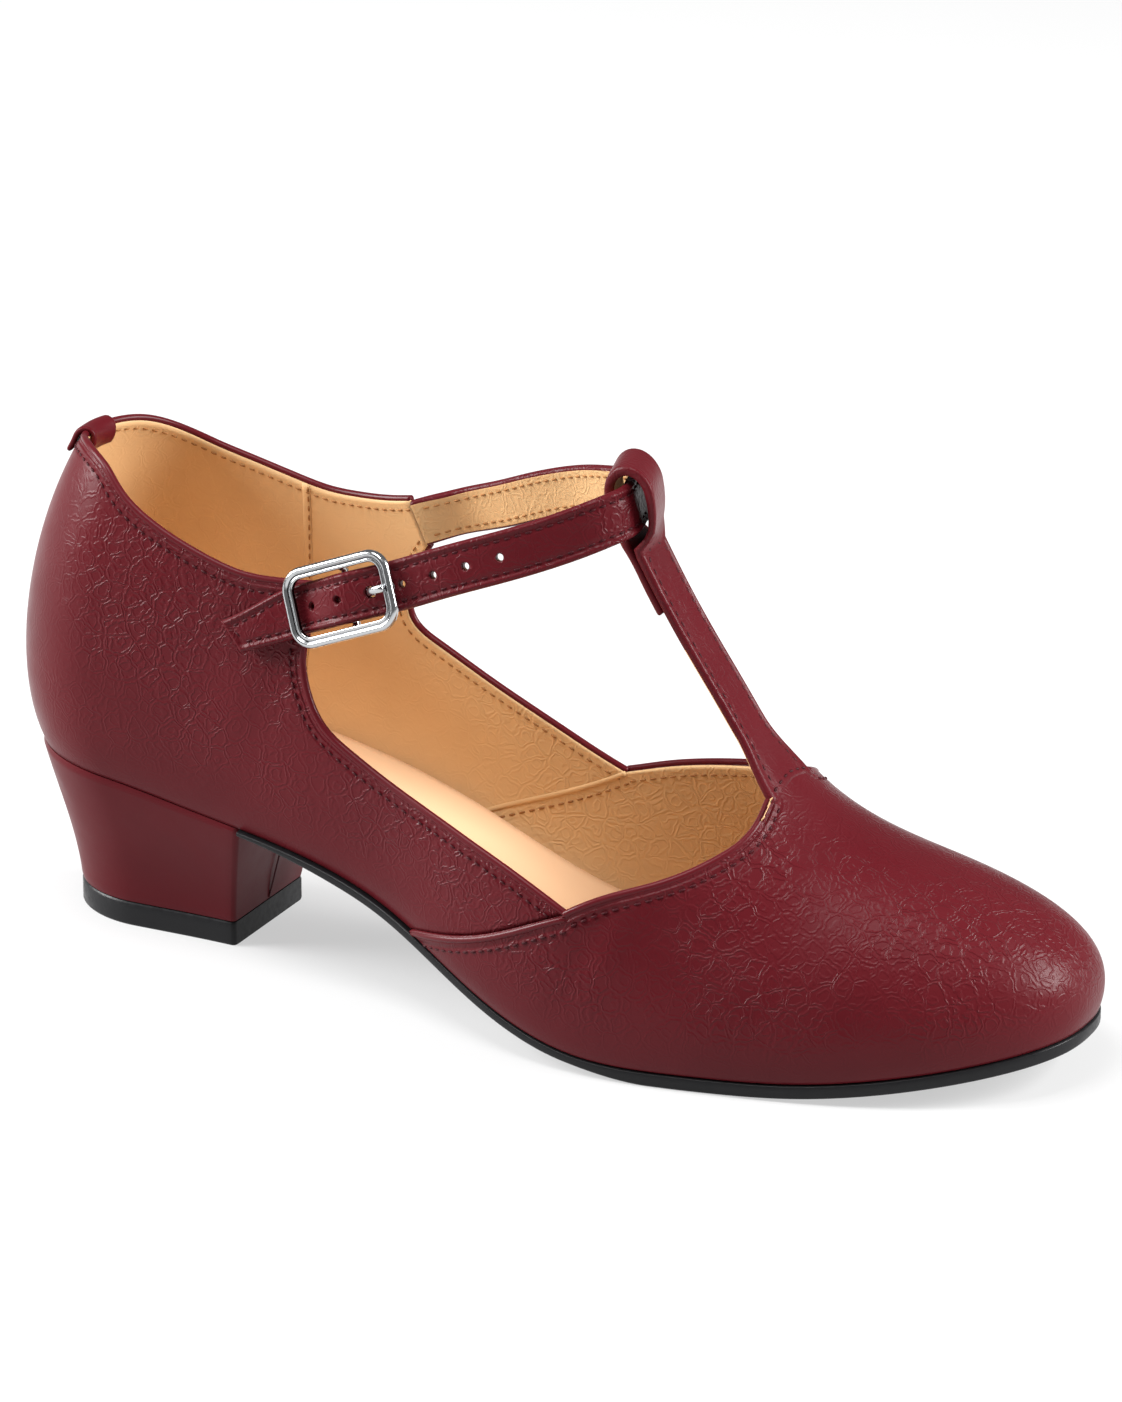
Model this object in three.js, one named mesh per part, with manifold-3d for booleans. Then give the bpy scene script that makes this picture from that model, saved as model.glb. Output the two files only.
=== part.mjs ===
import * as THREE from 'three';
import { mergeVertices } from 'three/addons/utils/BufferGeometryUtils.js';
import Module from 'manifold-3d';

const wasm = await Module();
wasm.setup();

// A right shoe in millimetres: +X to the toe, +Y to the inner (medial) side, +Z up, floor at z = 0.

// Driving dimensions of the last
const SHOE_LENGTH = 250;
const BALL_WIDTH = 78;
const HEEL_SEAT_HEIGHT = 41.5;
const TOE_SPRING = 9.2;
const INSTEP_RISE = 104;
const SIDE_BULGE = 12;
const SIDE_RISE = 23;
const TOE_SWING = 5;
const TOE_SWING_START = 0.6;
const HEEL_ROUND_LENGTH = 27;
const TOE_ROUND_LENGTH = 63;
const TOE_ROUND_POWER = 2.35;
const SPINE_BACK_INSET = 38;
const SPINE_TOE_INSET = 42;
const SPINE_SOFTNESS = 8;

// Leather, board and fit
const UPPER_WALL = 2.2;
const LAP_STEP = 0.9;
const FIT_GAP = 0.3;
const OUTSOLE_THICKNESS = 3.2;
const OUTSOLE_WAIST_THICKNESS = 2.1;
const OUTSOLE_EDGE = 0.8;
const INSOLE_THICKNESS = 4.2;
const INSOLE_FLARE = 0.9;

// Heel
const HEEL_SEAT_LENGTH = 61;
const LIFT_LENGTH = 46.6;
const LIFT_WIDTH = 31.6;
const LIFT_BACK_INSET = 7.2;
const LIFT_THICKNESS = 5.5;
const LIFT_BEVEL = 0.5;
const HEEL_WAIST = 0.6;
const BREAST_CORNER = 3;

// Straps, loop, tab and buckle
const STRAP_WIDTH = 11;
const STRAP_THICKNESS = 2.2;
const TAIL_WIDTH = 8.2;
const TAIL_SKEW = 2.4;
const TAIL_LENGTH = 17.7;
const TAIL_DIP = THREE.MathUtils.degToRad(5.5);
const T_STRAP_WIDTH = 12.4;
const T_STRAP_THICKNESS = 2;
const T_STRAP_FLARE = 14;
const LOOP_WALL = 1.7;
const LOOP_SLACK = 2.6;
const LOOP_HEAD = 1.8;
const LOOP_FOOT = 4.5;
const LOOP_SHUT_SHARE = 0.2;
const LOOP_CROWN_DROP = 3;
const LOOP_TAPER_POWER = 2.6;
const LOOP_YAW = 0.3;
const FOLD_LENGTH = 13;
const FOLD_THICKNESS = 1.6;
const FOLD_INSET = 0.15;
const HEEL_TAB_WIDTH = 11;
const HEEL_TAB_THICKNESS = 1.3;
const HEEL_TAB_DROP = 6.5;
const HEEL_TAB_INSIDE_DROP = 5;
const HEEL_TAB_GAP = 0.4;
const BUCKLE_LENGTH = 27.5;
const BUCKLE_SIDE_SLACK = 1;
const BUCKLE_LIFT_GAP = 0.6;
const BUCKLE_WIRE = 2.2;
const BUCKLE_CORNER = 5;
const BAR_SINK = 1.4;
const BAR_BEND_INSET = 1.4;
const CENTRE_BAR = 1.8;
const PRONG_WIRE = 1.5;
const PRONG_HOOK_START = Math.PI / 4;
const PRONG_HOLE_PLACE = 6.9;
const PRONG_HOLE = 3;
const BUCKLE_TAB_THICKNESS = 1.8;
const BUCKLE_TAB_WRAP = 1.1;
const BUCKLE_TAB_LENGTH = 8;
const BUCKLE_TAB_INSET = 1;
const PRONG_SLOT_SLACK = 0.6;

const BALL_HEIGHT = OUTSOLE_THICKNESS + FIT_GAP;
const STRAP_LEAN = THREE.MathUtils.degToRad(14);

// Sections of the last. share: of the length. lateral, medial: of the ball width.
// heel: of the seat's height over the ball. spring: of the toe spring. bulgeL, bulgeM: of the side bulge.
// rise: of the side rise. shoulder: of the half width. spine: of the instep's rise.
const LAST_COLUMNS = [
  'share', 'lateral', 'medial', 'heel', 'spring', 'bulgeL', 'bulgeM', 'rise', 'shoulder', 'spine',
];
const LAST_ROWS = [
  [0.0, 0.333, 0.346, 1.000, 0.00, 0.92, 0.92, 1.00, 0.90, 0.995],
  [0.1, 0.340, 0.353, 0.955, 0.00, 0.88, 0.83, 0.98, 0.92, 0.896],
  [0.2, 0.333, 0.346, 0.833, 0.00, 0.75, 0.79, 0.96, 0.90, 0.998],
  [0.3, 0.349, 0.314, 0.721, 0.00, 0.75, 0.92, 0.78, 0.80, 1.000],
  [0.4, 0.391, 0.282, 0.531, 0.00, 0.75, 1.00, 0.70, 0.72, 0.983],
  [0.5, 0.487, 0.295, 0.239, 0.00, 0.75, 1.00, 0.61, 0.70, 1.012],
  [0.6, 0.545, 0.372, 0.032, 0.00, 0.67, 0.83, 0.61, 0.68, 0.954],
  [0.7, 0.519, 0.453, 0.000, 0.00, 0.58, 0.67, 0.61, 0.68, 0.601],
  [0.8, 0.468, 0.474, 0.000, 0.09, 0.50, 0.50, 0.59, 0.68, 0.417],
  [0.9, 0.429, 0.462, 0.000, 0.47, 0.50, 0.50, 0.61, 0.70, 0.317],
  [1.0, 0.397, 0.436, 0.000, 1.00, 0.46, 0.46, 0.70, 0.73, 0.205],
];

// Edges of the upper, from the heel to the toe. Each point is a share of the length and a share of the
// way from the feather line (0) up to the spine (1). foot: where the edge's last rib meets the feather.
// sweep: how late that rib leans over to its head, 1 for a straight rib.
const UPPER_EDGES = {
  lateral: [
    {
      name: 'collar', foot: 0.24, sweep: 2.6, ribs: 16,
      points: [[0, 0.665], [0.025, 0.672], [0.055, 0.662], [0.094, 0.628], [0.118, 0.588], [0.154, 0.54],
        [0.188, 0.51], [0.22, 0.495], [0.251, 0.494], [0.282, 0.508], [0.322, 0.535]],
    },
    {
      name: 'cutout', foot: 0.43, sweep: 1.35, ribs: 17,
      points: [[0.322, 0.535], [0.316, 0.46], [0.313, 0.415], [0.318, 0.376], [0.334, 0.332], [0.362, 0.312],
        [0.4, 0.306], [0.468, 0.322], [0.535, 0.332], [0.598, 0.324]],
    },
    {
      name: 'vamp', foot: 0.75, sweep: 1, ribs: 13,
      points: [[0.598, 0.324], [0.633, 0.393], [0.664, 0.461], [0.692, 0.546], [0.711, 0.627],
        [0.724, 0.704], [0.73, 0.79], [0.729, 0.865]],
    },
  ],
  medial: [
    {
      name: 'collar', foot: 0.22, sweep: 2.6, ribs: 16,
      points: [[0, 0.665], [0.025, 0.65], [0.057, 0.619], [0.101, 0.573], [0.146, 0.54], [0.189, 0.517],
        [0.227, 0.512], [0.261, 0.527], [0.3, 0.558], [0.323, 0.582]],
    },
    { name: 'strap seam', foot: 0.23, sweep: 2.6, ribs: 2, points: [[0.323, 0.582], [0.337, 0.515]] },
    {
      name: 'cutout', foot: 0.384, sweep: 1.35, ribs: 15,
      points: [[0.337, 0.515], [0.318, 0.455], [0.307, 0.405], [0.308, 0.362], [0.336, 0.337],
        [0.399, 0.325], [0.461, 0.323], [0.522, 0.314]],
    },
    {
      name: 'vamp', foot: 0.75, sweep: 1, ribs: 13,
      points: [[0.522, 0.314], [0.56, 0.357], [0.604, 0.406], [0.638, 0.458], [0.672, 0.535],
        [0.697, 0.615], [0.714, 0.7], [0.726, 0.79], [0.729, 0.865]],
    },
  ],
};
const TONGUE_EDGE = {
  name: 'tongue', foot: 0.785, sweep: 1, ribs: 3, points: [[0.729, 0.865], [0.7275, 0.93], [0.727, 1]],
};
const SPINE_EDGE = { name: 'spine', foot: 1, sweep: 1, ribs: 16, points: [[0.727, 1], [1, 1]] };
const TOE_FAN_SHARE = 0.86;
const SPINE_NEAR = 0.99;
const GIRTH_LENGTH = 100;
const UPPER_ROWS = 11;

// Middle of the T-strap's front face above the vamp: shares of the length and of the instep's rise
const T_STRAP_PATH = [
  { along: 0.7104, across: 0, rise: 0.578 },
  { along: 0.68, across: 0, rise: 0.678 },
  { along: 0.649, across: 0, rise: 0.785 },
  { along: 0.622, across: 0, rise: 0.881 },
];

// Middle line of the ankle strap, from its medial seam through the loop to the buckle. along: share of
// the length. across: share of the ball width, + medial. rise: share of the instep's rise.
const LOOP_PLACE = { along: 0.582, across: 0, rise: 1.053 };
const ANKLE_PATH = [
  { along: 0.358, across: 0.295, rise: 0.66 },
  { along: 0.407, across: 0.28, rise: 0.744 },
  { along: 0.453, across: 0.247, rise: 0.84 },
  { along: 0.5, across: 0.209, rise: 0.931 },
  { along: 0.536, across: 0.156, rise: 0.99 },
  { along: 0.562, across: 0.113, rise: 1.026 },
  { along: 0.577, across: 0.064, rise: 1.046 },
  LOOP_PLACE,
  { along: 0.587, across: -0.064, rise: 1.054 },
  { along: 0.579, across: -0.141, rise: 1.041 },
  { along: 0.547, across: -0.218, rise: 0.986 },
  { along: 0.5, across: -0.287, rise: 0.9 },
  { along: 0.448, across: -0.328, rise: 0.797 },
];
const BUCKLE_FRONT = { along: 0.406, across: -0.344, rise: 0.711 };
const BUCKLE_BACK = { along: 0.312, across: -0.346, rise: 0.551 };

// The outsole is thin from the breast to this share of the length and full after the fade
const OUTSOLE_WAIST_END = 0.6;
const OUTSOLE_WAIST_FADE = 0.08;

// Facets
const SOLE_STATIONS = 40;
const HEEL_STATIONS = 12;
const HEEL_LEVELS = 7;
const STRAP_STEPS = 5;
const T_STRAP_STEPS = 16;
const T_STRAP_COLUMNS = 5;
const LOOP_LEG_STEPS = 5;
const LOOP_STEPS = 22;
const FRAME_CORNER_STEPS = 5;
const WIRE_SIDES = 8;
const PRONG_STEPS = 26;
const CURVE_SAMPLES = 400;
const HALVINGS = 40;

const SIDES = ['lateral', 'medial'];
const OUTWARD = { lateral: -1, medial: 1 };
const BULGE_COLUMN = { lateral: 'bulgeL', medial: 'bulgeM' };
const UP = new THREE.Vector3(0, 0, 1);
const ACROSS = new THREE.Vector3(0, 1, 0);

// Curves

function naturalSpline(places, values) {
  const last = places.length - 1;
  const bends = new Array(last + 1).fill(0);
  const ratio = new Array(last + 1).fill(0);
  const part = new Array(last + 1).fill(0);
  for (let i = 1; i < last; i++) {
    const before = places[i] - places[i - 1];
    const after = places[i + 1] - places[i];
    const turn = (values[i + 1] - values[i]) / after - (values[i] - values[i - 1]) / before;
    const pivot = 2 * (before + after) - before * ratio[i - 1];
    ratio[i] = after / pivot;
    part[i] = (6 * turn - before * part[i - 1]) / pivot;
  }
  for (let i = last - 1; i > 0; i--) bends[i] = part[i] - ratio[i] * bends[i + 1];
  return (place) => {
    let i = 0;
    while (i < last - 1 && place > places[i + 1]) i++;
    const step = places[i + 1] - places[i];
    const a = (places[i + 1] - place) / step;
    const b = (place - places[i]) / step;
    const bend = ((a ** 3 - a) * bends[i] + (b ** 3 - b) * bends[i + 1]) * step * step / 6;
    return a * values[i] + b * values[i + 1] + bend;
  };
}

function smooth(value) {
  const t = THREE.MathUtils.clamp(value, 0, 1);
  return t * t * (3 - 2 * t);
}

// The last

const lastCurve = {};
LAST_COLUMNS.slice(1).forEach((name, i) => {
  lastCurve[name] = naturalSpline(LAST_ROWS.map((row) => row[0]), LAST_ROWS.map((row) => row[i + 1]));
});

function lastValue(name, x) {
  return lastCurve[name](THREE.MathUtils.clamp(x / SHOE_LENGTH, 0, 1));
}

// Height of the feather line, where the upper meets the sole
function featherHeight(x) {
  const seat = (HEEL_SEAT_HEIGHT - BALL_HEIGHT) * lastValue('heel', x);
  return BALL_HEIGHT + seat + TOE_SPRING * lastValue('spring', x);
}

function spineHeight(x) {
  return featherHeight(x) + INSTEP_RISE * lastValue('spine', x);
}

// The middle line swings to the medial side towards the toe
function middleLine(x) {
  const swing = THREE.MathUtils.clamp((x / SHOE_LENGTH - TOE_SWING_START) / (1 - TOE_SWING_START), 0, 1);
  return TOE_SWING * swing * swing;
}

// Narrowing at the round heel and at the round toe
function endRounding(x) {
  const heel = THREE.MathUtils.clamp(1 - x / HEEL_ROUND_LENGTH, 0, 1);
  const toe = THREE.MathUtils.clamp((x - SHOE_LENGTH + TOE_ROUND_LENGTH) / TOE_ROUND_LENGTH, 0, 1);
  return Math.sqrt(1 - heel * heel) * (1 - toe ** TOE_ROUND_POWER) ** (1 / TOE_ROUND_POWER);
}

function featherLine(side, x) {
  return middleLine(x) + OUTWARD[side] * BALL_WIDTH * lastValue(side, x) * endRounding(x);
}

// Places along the shoe that lie close together at both ends
function placeAlong(turn) {
  return SHOE_LENGTH * (1 - Math.cos(Math.PI * turn)) / 2;
}

function turnAt(x) {
  return Math.acos(1 - 2 * x / SHOE_LENGTH) / Math.PI;
}

// The spine runs in the middle and stops short of heel and toe, with soft stops
function spinePlace(x) {
  const front = SHOE_LENGTH - SPINE_TOE_INSET;
  const held = SPINE_BACK_INSET + SPINE_SOFTNESS * Math.log1p(Math.exp((x - SPINE_BACK_INSET) / SPINE_SOFTNESS));
  return front - SPINE_SOFTNESS * Math.log1p(Math.exp((front - held) / SPINE_SOFTNESS));
}

// A point of the last's skin on the rib that starts at the feather line at x; girth runs 0 to 1 up to the spine
function lastPoint(side, x, girth) {
  const spineX = spinePlace(x);
  const spineY = middleLine(spineX);
  const awayX = x - spineX;
  const awayY = featherLine(side, x) - spineY;
  const foot = Math.hypot(awayX, awayY);
  const toX = awayX / foot;
  const toY = awayY / foot;
  const slope = (spineHeight(spineX + 1) - spineHeight(spineX - 1)) / 2;
  const bulge = SIDE_BULGE * lastValue(BULGE_COLUMN[side], x);
  const shoulder = foot * lastValue('shoulder', x);
  const low = featherHeight(x);
  const top = spineHeight(spineX);
  const radii = [foot, foot + bulge, shoulder, 0];
  const heights = [low, low + SIDE_RISE * lastValue('rise', x), top + slope * toX * shoulder, top];
  const rest = 1 - girth;
  const weights = [rest ** 3, 3 * girth * rest * rest, 3 * girth * girth * rest, girth ** 3];
  const radius = weights.reduce((sum, weight, i) => sum + weight * radii[i], 0);
  const height = weights.reduce((sum, weight, i) => sum + weight * heights[i], 0);
  return new THREE.Vector3(spineX + toX * radius, spineY + toY * radius, height);
}

// Directions on the last's skin: up its rib, and out of it
function lastFrame(side, x, girth) {
  const along = 0.2;
  const round = 0.005;
  const ahead = lastPoint(side, x + along, girth).sub(lastPoint(side, Math.max(0, x - along), girth));
  const upward = lastPoint(side, x, girth + round).sub(lastPoint(side, x, girth - round)).normalize();
  const normal = ahead.cross(upward).normalize().multiplyScalar(-OUTWARD[side]);
  return { upward, normal };
}

// How far out the last's skin lies at a given place along the shoe and height
function skinAt(side, x, height) {
  let low = 0;
  let high = 1;
  for (let i = 0; i < HALVINGS; i++) {
    const middle = (low + high) / 2;
    if (lastPoint(side, x, middle).z < height) low = middle;
    else high = middle;
  }
  return lastPoint(side, x, low);
}

// A smooth curve on the last through points given in shares, sampled at equal steps of its real length
function edgeCurve(side, points, steps) {
  const reach = [0];
  for (let i = 1; i < points.length; i++) {
    const along = (points[i][0] - points[i - 1][0]) * SHOE_LENGTH;
    const round = (points[i][1] - points[i - 1][1]) * GIRTH_LENGTH;
    reach.push(reach[i - 1] + Math.hypot(along, round));
  }
  const shareAt = naturalSpline(reach, points.map((point) => point[0]));
  const girthAt = naturalSpline(reach, points.map((point) => point[1]));
  const whole = reach[points.length - 1];
  const at = (turn) => [shareAt(whole * turn * turn), girthAt(whole * turn * turn)];
  const pointAt = (turn) => lastPoint(side, SHOE_LENGTH * at(turn)[0], at(turn)[1]);
  const turns = equalSteps(pointAt, 0, 1, steps);
  return turns.map(at);
}

// Turns between two turns of a curve that lie at equal steps of its real length
function equalSteps(pointAt, from, to, steps) {
  const turnAtSample = (i) => from + (to - from) * i / CURVE_SAMPLES;
  const reach = [0];
  let before = pointAt(from);
  for (let i = 1; i <= CURVE_SAMPLES; i++) {
    const point = pointAt(turnAtSample(i));
    reach.push(reach[i - 1] + point.distanceTo(before));
    before = point;
  }
  const turns = [];
  let k = 0;
  for (let i = 0; i <= steps; i++) {
    const wanted = reach[CURVE_SAMPLES] * i / steps;
    while (k < CURVE_SAMPLES - 1 && reach[k + 1] < wanted) k++;
    turns.push(turnAtSample(k + (wanted - reach[k]) / (reach[k + 1] - reach[k])));
  }
  return turns;
}

// A point of the feather line's plan, moved inwards at right angles by an inset
function planPoint(side, turn, inset) {
  const x = placeAlong(turn);
  const y = featherLine(side, x);
  if (turn === 0) return [x + inset, y];
  if (turn === 1) return [x - inset, y];
  const nudge = 1e-4;
  const before = placeAlong(turn - nudge);
  const after = placeAlong(turn + nudge);
  const runX = after - before;
  const runY = featherLine(side, after) - featherLine(side, before);
  const run = Math.hypot(runX, runY);
  const inward = -OUTWARD[side] * inset / run;
  return [x - runY * inward, y + runX * inward];
}

// Solids

function facesOfGrid(rows, columns, indexAt) {
  const faces = [];
  for (let i = 0; i + 1 < rows; i++) {
    for (let j = 0; j + 1 < columns; j++) {
      faces.push([indexAt(i, j), indexAt(i + 1, j), indexAt(i + 1, j + 1)]);
      faces.push([indexAt(i, j), indexAt(i + 1, j + 1), indexAt(i, j + 1)]);
    }
  }
  return faces;
}

function geometryFrom(triangles) {
  const positions = [];
  for (const corners of triangles) {
    for (const corner of corners) positions.push(corner.x, corner.y, corner.z);
  }
  const geometry = new THREE.BufferGeometry();
  geometry.setAttribute('position', new THREE.Float32BufferAttribute(positions, 3));
  return tidyGeometry(geometry);
}

// Merges shared corners, drops the triangles that this leaves without area and turns every face outwards
function tidyGeometry(geometry) {
  const merged = mergeVertices(geometry, 2e-3);
  const position = merged.getAttribute('position');
  const corner = (i) => new THREE.Vector3().fromBufferAttribute(position, i);
  const index = merged.getIndex().array;
  const kept = [];
  let volume = 0;
  for (let i = 0; i < index.length; i += 3) {
    const [a, b, c] = [index[i], index[i + 1], index[i + 2]];
    if (a === b || b === c || c === a) continue;
    kept.push(a, b, c);
    volume += corner(a).dot(corner(b).cross(corner(c)));
  }
  merged.setIndex(volume < 0 ? kept.reverse() : kept);
  return merged;
}

// A closed solid between sheets of the same faces: the first sheet faces out, the last is its back
function solidBetween(sheets, faces) {
  const front = sheets[0];
  const back = sheets[sheets.length - 1];
  const triangles = [];
  const open = new Map();
  for (const [a, b, c] of faces) {
    triangles.push([front[a], front[b], front[c]], [back[c], back[b], back[a]]);
    for (const [from, to] of [[a, b], [b, c], [c, a]]) {
      if (open.has(`${to}:${from}`)) open.delete(`${to}:${from}`);
      else open.set(`${from}:${to}`, [from, to]);
    }
  }
  for (const [from, to] of open.values()) {
    for (let level = 0; level + 1 < sheets.length; level++) {
      const upper = sheets[level];
      const lower = sheets[level + 1];
      triangles.push([upper[to], upper[from], lower[from]], [upper[to], lower[from], lower[to]]);
    }
  }
  return geometryFrom(triangles);
}

function stripSolid(sheets, columns) {
  const rows = sheets[0].length / columns;
  return solidBetween(sheets, facesOfGrid(rows, columns, (i, j) => i * columns + j));
}

function toManifold(geometry) {
  const plain = new THREE.BufferGeometry();
  plain.setAttribute('position', geometry.getAttribute('position').clone());
  if (geometry.getIndex()) plain.setIndex(geometry.getIndex());
  const merged = tidyGeometry(plain);
  return new wasm.Manifold(new wasm.Mesh({
    numProp: 3,
    vertProperties: new Float32Array(merged.getAttribute('position').array),
    triVerts: new Uint32Array(merged.getIndex().array),
  }));
}

function fromManifold(solid) {
  const mesh = solid.getMesh();
  const geometry = new THREE.BufferGeometry();
  geometry.setAttribute('position', new THREE.Float32BufferAttribute(mesh.vertProperties, 3));
  geometry.setIndex(Array.from(mesh.triVerts));
  return geometry;
}

// A round wire through points, closed on itself or with flat ends
function wireSolid(points, radius, sideAxis, closed) {
  const rings = points.map((point, i) => {
    const before = closed ? points[(i + points.length - 1) % points.length] : points[Math.max(i - 1, 0)];
    const after = closed ? points[(i + 1) % points.length] : points[Math.min(i + 1, points.length - 1)];
    const run = after.clone().sub(before).normalize();
    const first = sideAxis.clone().cross(run).normalize();
    const second = run.clone().cross(first);
    const ring = [];
    for (let k = 0; k < WIRE_SIDES; k++) {
      const angle = 2 * Math.PI * k / WIRE_SIDES;
      const out = first.clone().multiplyScalar(Math.cos(angle)).addScaledVector(second, Math.sin(angle));
      ring.push(point.clone().addScaledVector(out, radius));
    }
    return ring;
  });
  const triangles = [];
  const spans = closed ? rings.length : rings.length - 1;
  for (let i = 0; i < spans; i++) {
    const here = rings[i];
    const next = rings[(i + 1) % rings.length];
    for (let k = 0; k < WIRE_SIDES; k++) {
      const turn = (k + 1) % WIRE_SIDES;
      triangles.push([here[k], here[turn], next[turn]], [here[k], next[turn], next[k]]);
    }
  }
  if (!closed) {
    const start = rings[0];
    const end = rings[rings.length - 1];
    for (let k = 1; k + 1 < WIRE_SIDES; k++) {
      triangles.push([start[0], start[k + 1], start[k]], [end[0], end[k], end[k + 1]]);
    }
  }
  return geometryFrom(triangles);
}

// The upper

// Shares on the feather line at equal steps of its real length between two shares
function featherSteps(side, from, to, steps) {
  const pointAt = (turn) => new THREE.Vector3(placeAlong(turn), featherLine(side, placeAlong(turn)), 0);
  const turns = equalSteps(pointAt, turnAt(SHOE_LENGTH * from), turnAt(SHOE_LENGTH * to), steps);
  return turns.map((turn) => placeAlong(turn) / SHOE_LENGTH);
}

// Places on the spine, and for the ribs round the toe the spine's own front end
function spineHeads({ points: [from, to], ribs }) {
  const heads = [];
  for (let i = 0; i <= ribs; i++) {
    const share = from[0] + (to[0] - from[0]) * i / ribs;
    heads.push(share > TOE_FAN_SHARE ? [1, 1] : [share, 1]);
  }
  return heads;
}

// Ribs of one side: each runs from a foot on the feather line to a head on the upper's edge
function upperRibs(side) {
  const ribs = [{ foot: 0, head: [0, UPPER_EDGES[side][0].points[0][1]], sweep: 1, onSpine: false }];
  let foot = 0;
  let sweep = 1;
  let lap = 0;
  for (const edge of [...UPPER_EDGES[side], TONGUE_EDGE, SPINE_EDGE]) {
    const onSpine = edge === SPINE_EDGE;
    const heads = onSpine ? spineHeads(edge) : edgeCurve(side, edge.points, edge.ribs);
    const feet = featherSteps(side, foot, edge.foot, edge.ribs);
    if (edge.name === 'vamp') lap = ribs.length - 1;
    if (onSpine) ribs[ribs.length - 1].onSpine = true;
    for (let i = 1; i <= edge.ribs; i++) {
      ribs.push({ foot: feet[i], head: heads[i], sweep: sweep + (edge.sweep - sweep) * i / edge.ribs, onSpine });
    }
    foot = edge.foot;
    sweep = edge.sweep;
  }
  return { ribs, lap };
}

function makeUpper() {
  const points = [];
  const atFoot = [];
  const names = new Map();
  const faces = [];
  const place = (name, make, foot) => {
    if (!names.has(name)) {
      names.set(name, points.length);
      points.push(make());
      atFoot.push(foot);
    }
    return names.get(name);
  };
  const onLap = new Set();
  for (const side of SIDES) {
    const { ribs, lap } = upperRibs(side);
    const indexAt = (i, j) => {
      const rib = ribs[i];
      const girthShare = j / UPPER_ROWS;
      const share = rib.foot + (rib.head[0] - rib.foot) * girthShare ** rib.sweep;
      const girth = rib.head[1] * girthShare;
      const shared = i === 0 || i === ribs.length - 1 || (rib.onSpine && j === UPPER_ROWS);
      const pole = rib.head[0] === 1 && j === UPPER_ROWS;
      const name = pole ? 'pole' : `${shared ? 'both' : side}:${i === 0 ? 0 : ribs.length - i}:${j}`;
      return place(name, () => lastPoint(side, SHOE_LENGTH * share, girth), j === 0);
    };
    for (let j = 0; j <= UPPER_ROWS; j++) onLap.add(indexAt(lap, j));
    for (const face of facesOfGrid(ribs.length, UPPER_ROWS + 1, (i, j) => `${i}:${j}`)) {
      const corners = face.map((name) => name.split(':').map(Number));
      const vamp = Math.min(...corners.map((corner) => corner[0])) >= lap;
      const indices = corners.map(([i, j]) => indexAt(i, j));
      if (side === 'medial') indices.reverse();
      const [a, b, c] = indices;
      if (a !== b && b !== c && c !== a) faces.push({ indices, vamp });
    }
  }
  return wallAround(points, atFoot, faces, onLap);
}

// The wall: an inner skin one wall inside, an outer skin with the vamp's step, and the edges between them
function wallAround(points, atFoot, faces, onLap) {
  const normals = points.map(() => new THREE.Vector3());
  for (const { indices: [a, b, c] } of faces) {
    const first = points[b].clone().sub(points[a]);
    const normal = first.cross(points[c].clone().sub(points[a]));
    for (const i of [a, b, c]) normals[i].add(normal);
  }
  normals.forEach((normal, i) => {
    if (atFoot[i]) normal.z = 0;
    normal.normalize();
  });
  const inner = points.map((point, i) => point.clone().addScaledVector(normals[i], -UPPER_WALL));
  const skin = (i, vamp) => {
    const step = (vamp ? LAP_STEP : -LAP_STEP) / 2;
    return points[i].clone().addScaledVector(normals[i], step);
  };
  const triangles = [];
  const open = new Map();
  const arriving = new Map();
  const leaving = new Map();
  for (const { indices: [a, b, c], vamp } of faces) {
    triangles.push([skin(a, vamp), skin(b, vamp), skin(c, vamp)], [inner[c], inner[b], inner[a]]);
    for (const [from, to] of [[a, b], [b, c], [c, a]]) {
      const other = open.get(`${to}:${from}`);
      if (!other) {
        open.set(`${from}:${to}`, { from, to, vamp });
        continue;
      }
      open.delete(`${to}:${from}`);
      if (other.vamp !== vamp) {
        triangles.push([skin(to, vamp), skin(from, vamp), skin(from, other.vamp)]);
        triangles.push([skin(to, vamp), skin(from, other.vamp), skin(to, other.vamp)]);
      }
    }
  }
  for (const { from, to, vamp } of open.values()) {
    triangles.push([skin(to, vamp), skin(from, vamp), inner[from]]);
    triangles.push([skin(to, vamp), inner[from], inner[to]]);
    arriving.set(to, vamp);
    leaving.set(from, vamp);
  }
  for (const i of onLap) {
    if (arriving.has(i) && arriving.get(i) !== leaving.get(i)) {
      triangles.push([skin(i, arriving.get(i)), inner[i], skin(i, leaving.get(i))]);
    }
  }
  return geometryFrom(triangles);
}

// Sole, insole and heel

function outlineTurns(from, to, steps) {
  const turns = [];
  for (let i = 0; i <= steps; i++) turns.push(from + (to - from) * i / steps);
  return turns;
}

function sheetAcross(turns, inset, heightAt) {
  const sheet = [];
  for (const turn of turns) {
    for (const side of SIDES) {
      const [x, y] = planPoint(side, turn, inset);
      sheet.push(new THREE.Vector3(x, y, heightAt(x)));
    }
  }
  return sheet;
}

function makeOutsole() {
  const turns = outlineTurns(turnAt(HEEL_SEAT_LENGTH + FIT_GAP), 1, SOLE_STATIONS);
  const top = (x) => featherHeight(x) - FIT_GAP;
  const bottom = (x) => {
    const slope = (featherHeight(x + 1) - featherHeight(x - 1)) / 2;
    const full = smooth((x / SHOE_LENGTH - OUTSOLE_WAIST_END) / OUTSOLE_WAIST_FADE);
    const thick = OUTSOLE_WAIST_THICKNESS + (OUTSOLE_THICKNESS - OUTSOLE_WAIST_THICKNESS) * full;
    return Math.max(0, top(x) - thick * Math.hypot(1, slope));
  };
  return stripSolid([
    sheetAcross(turns, -OUTSOLE_EDGE, top),
    sheetAcross(turns, -OUTSOLE_EDGE, bottom),
  ], SIDES.length);
}

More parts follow.
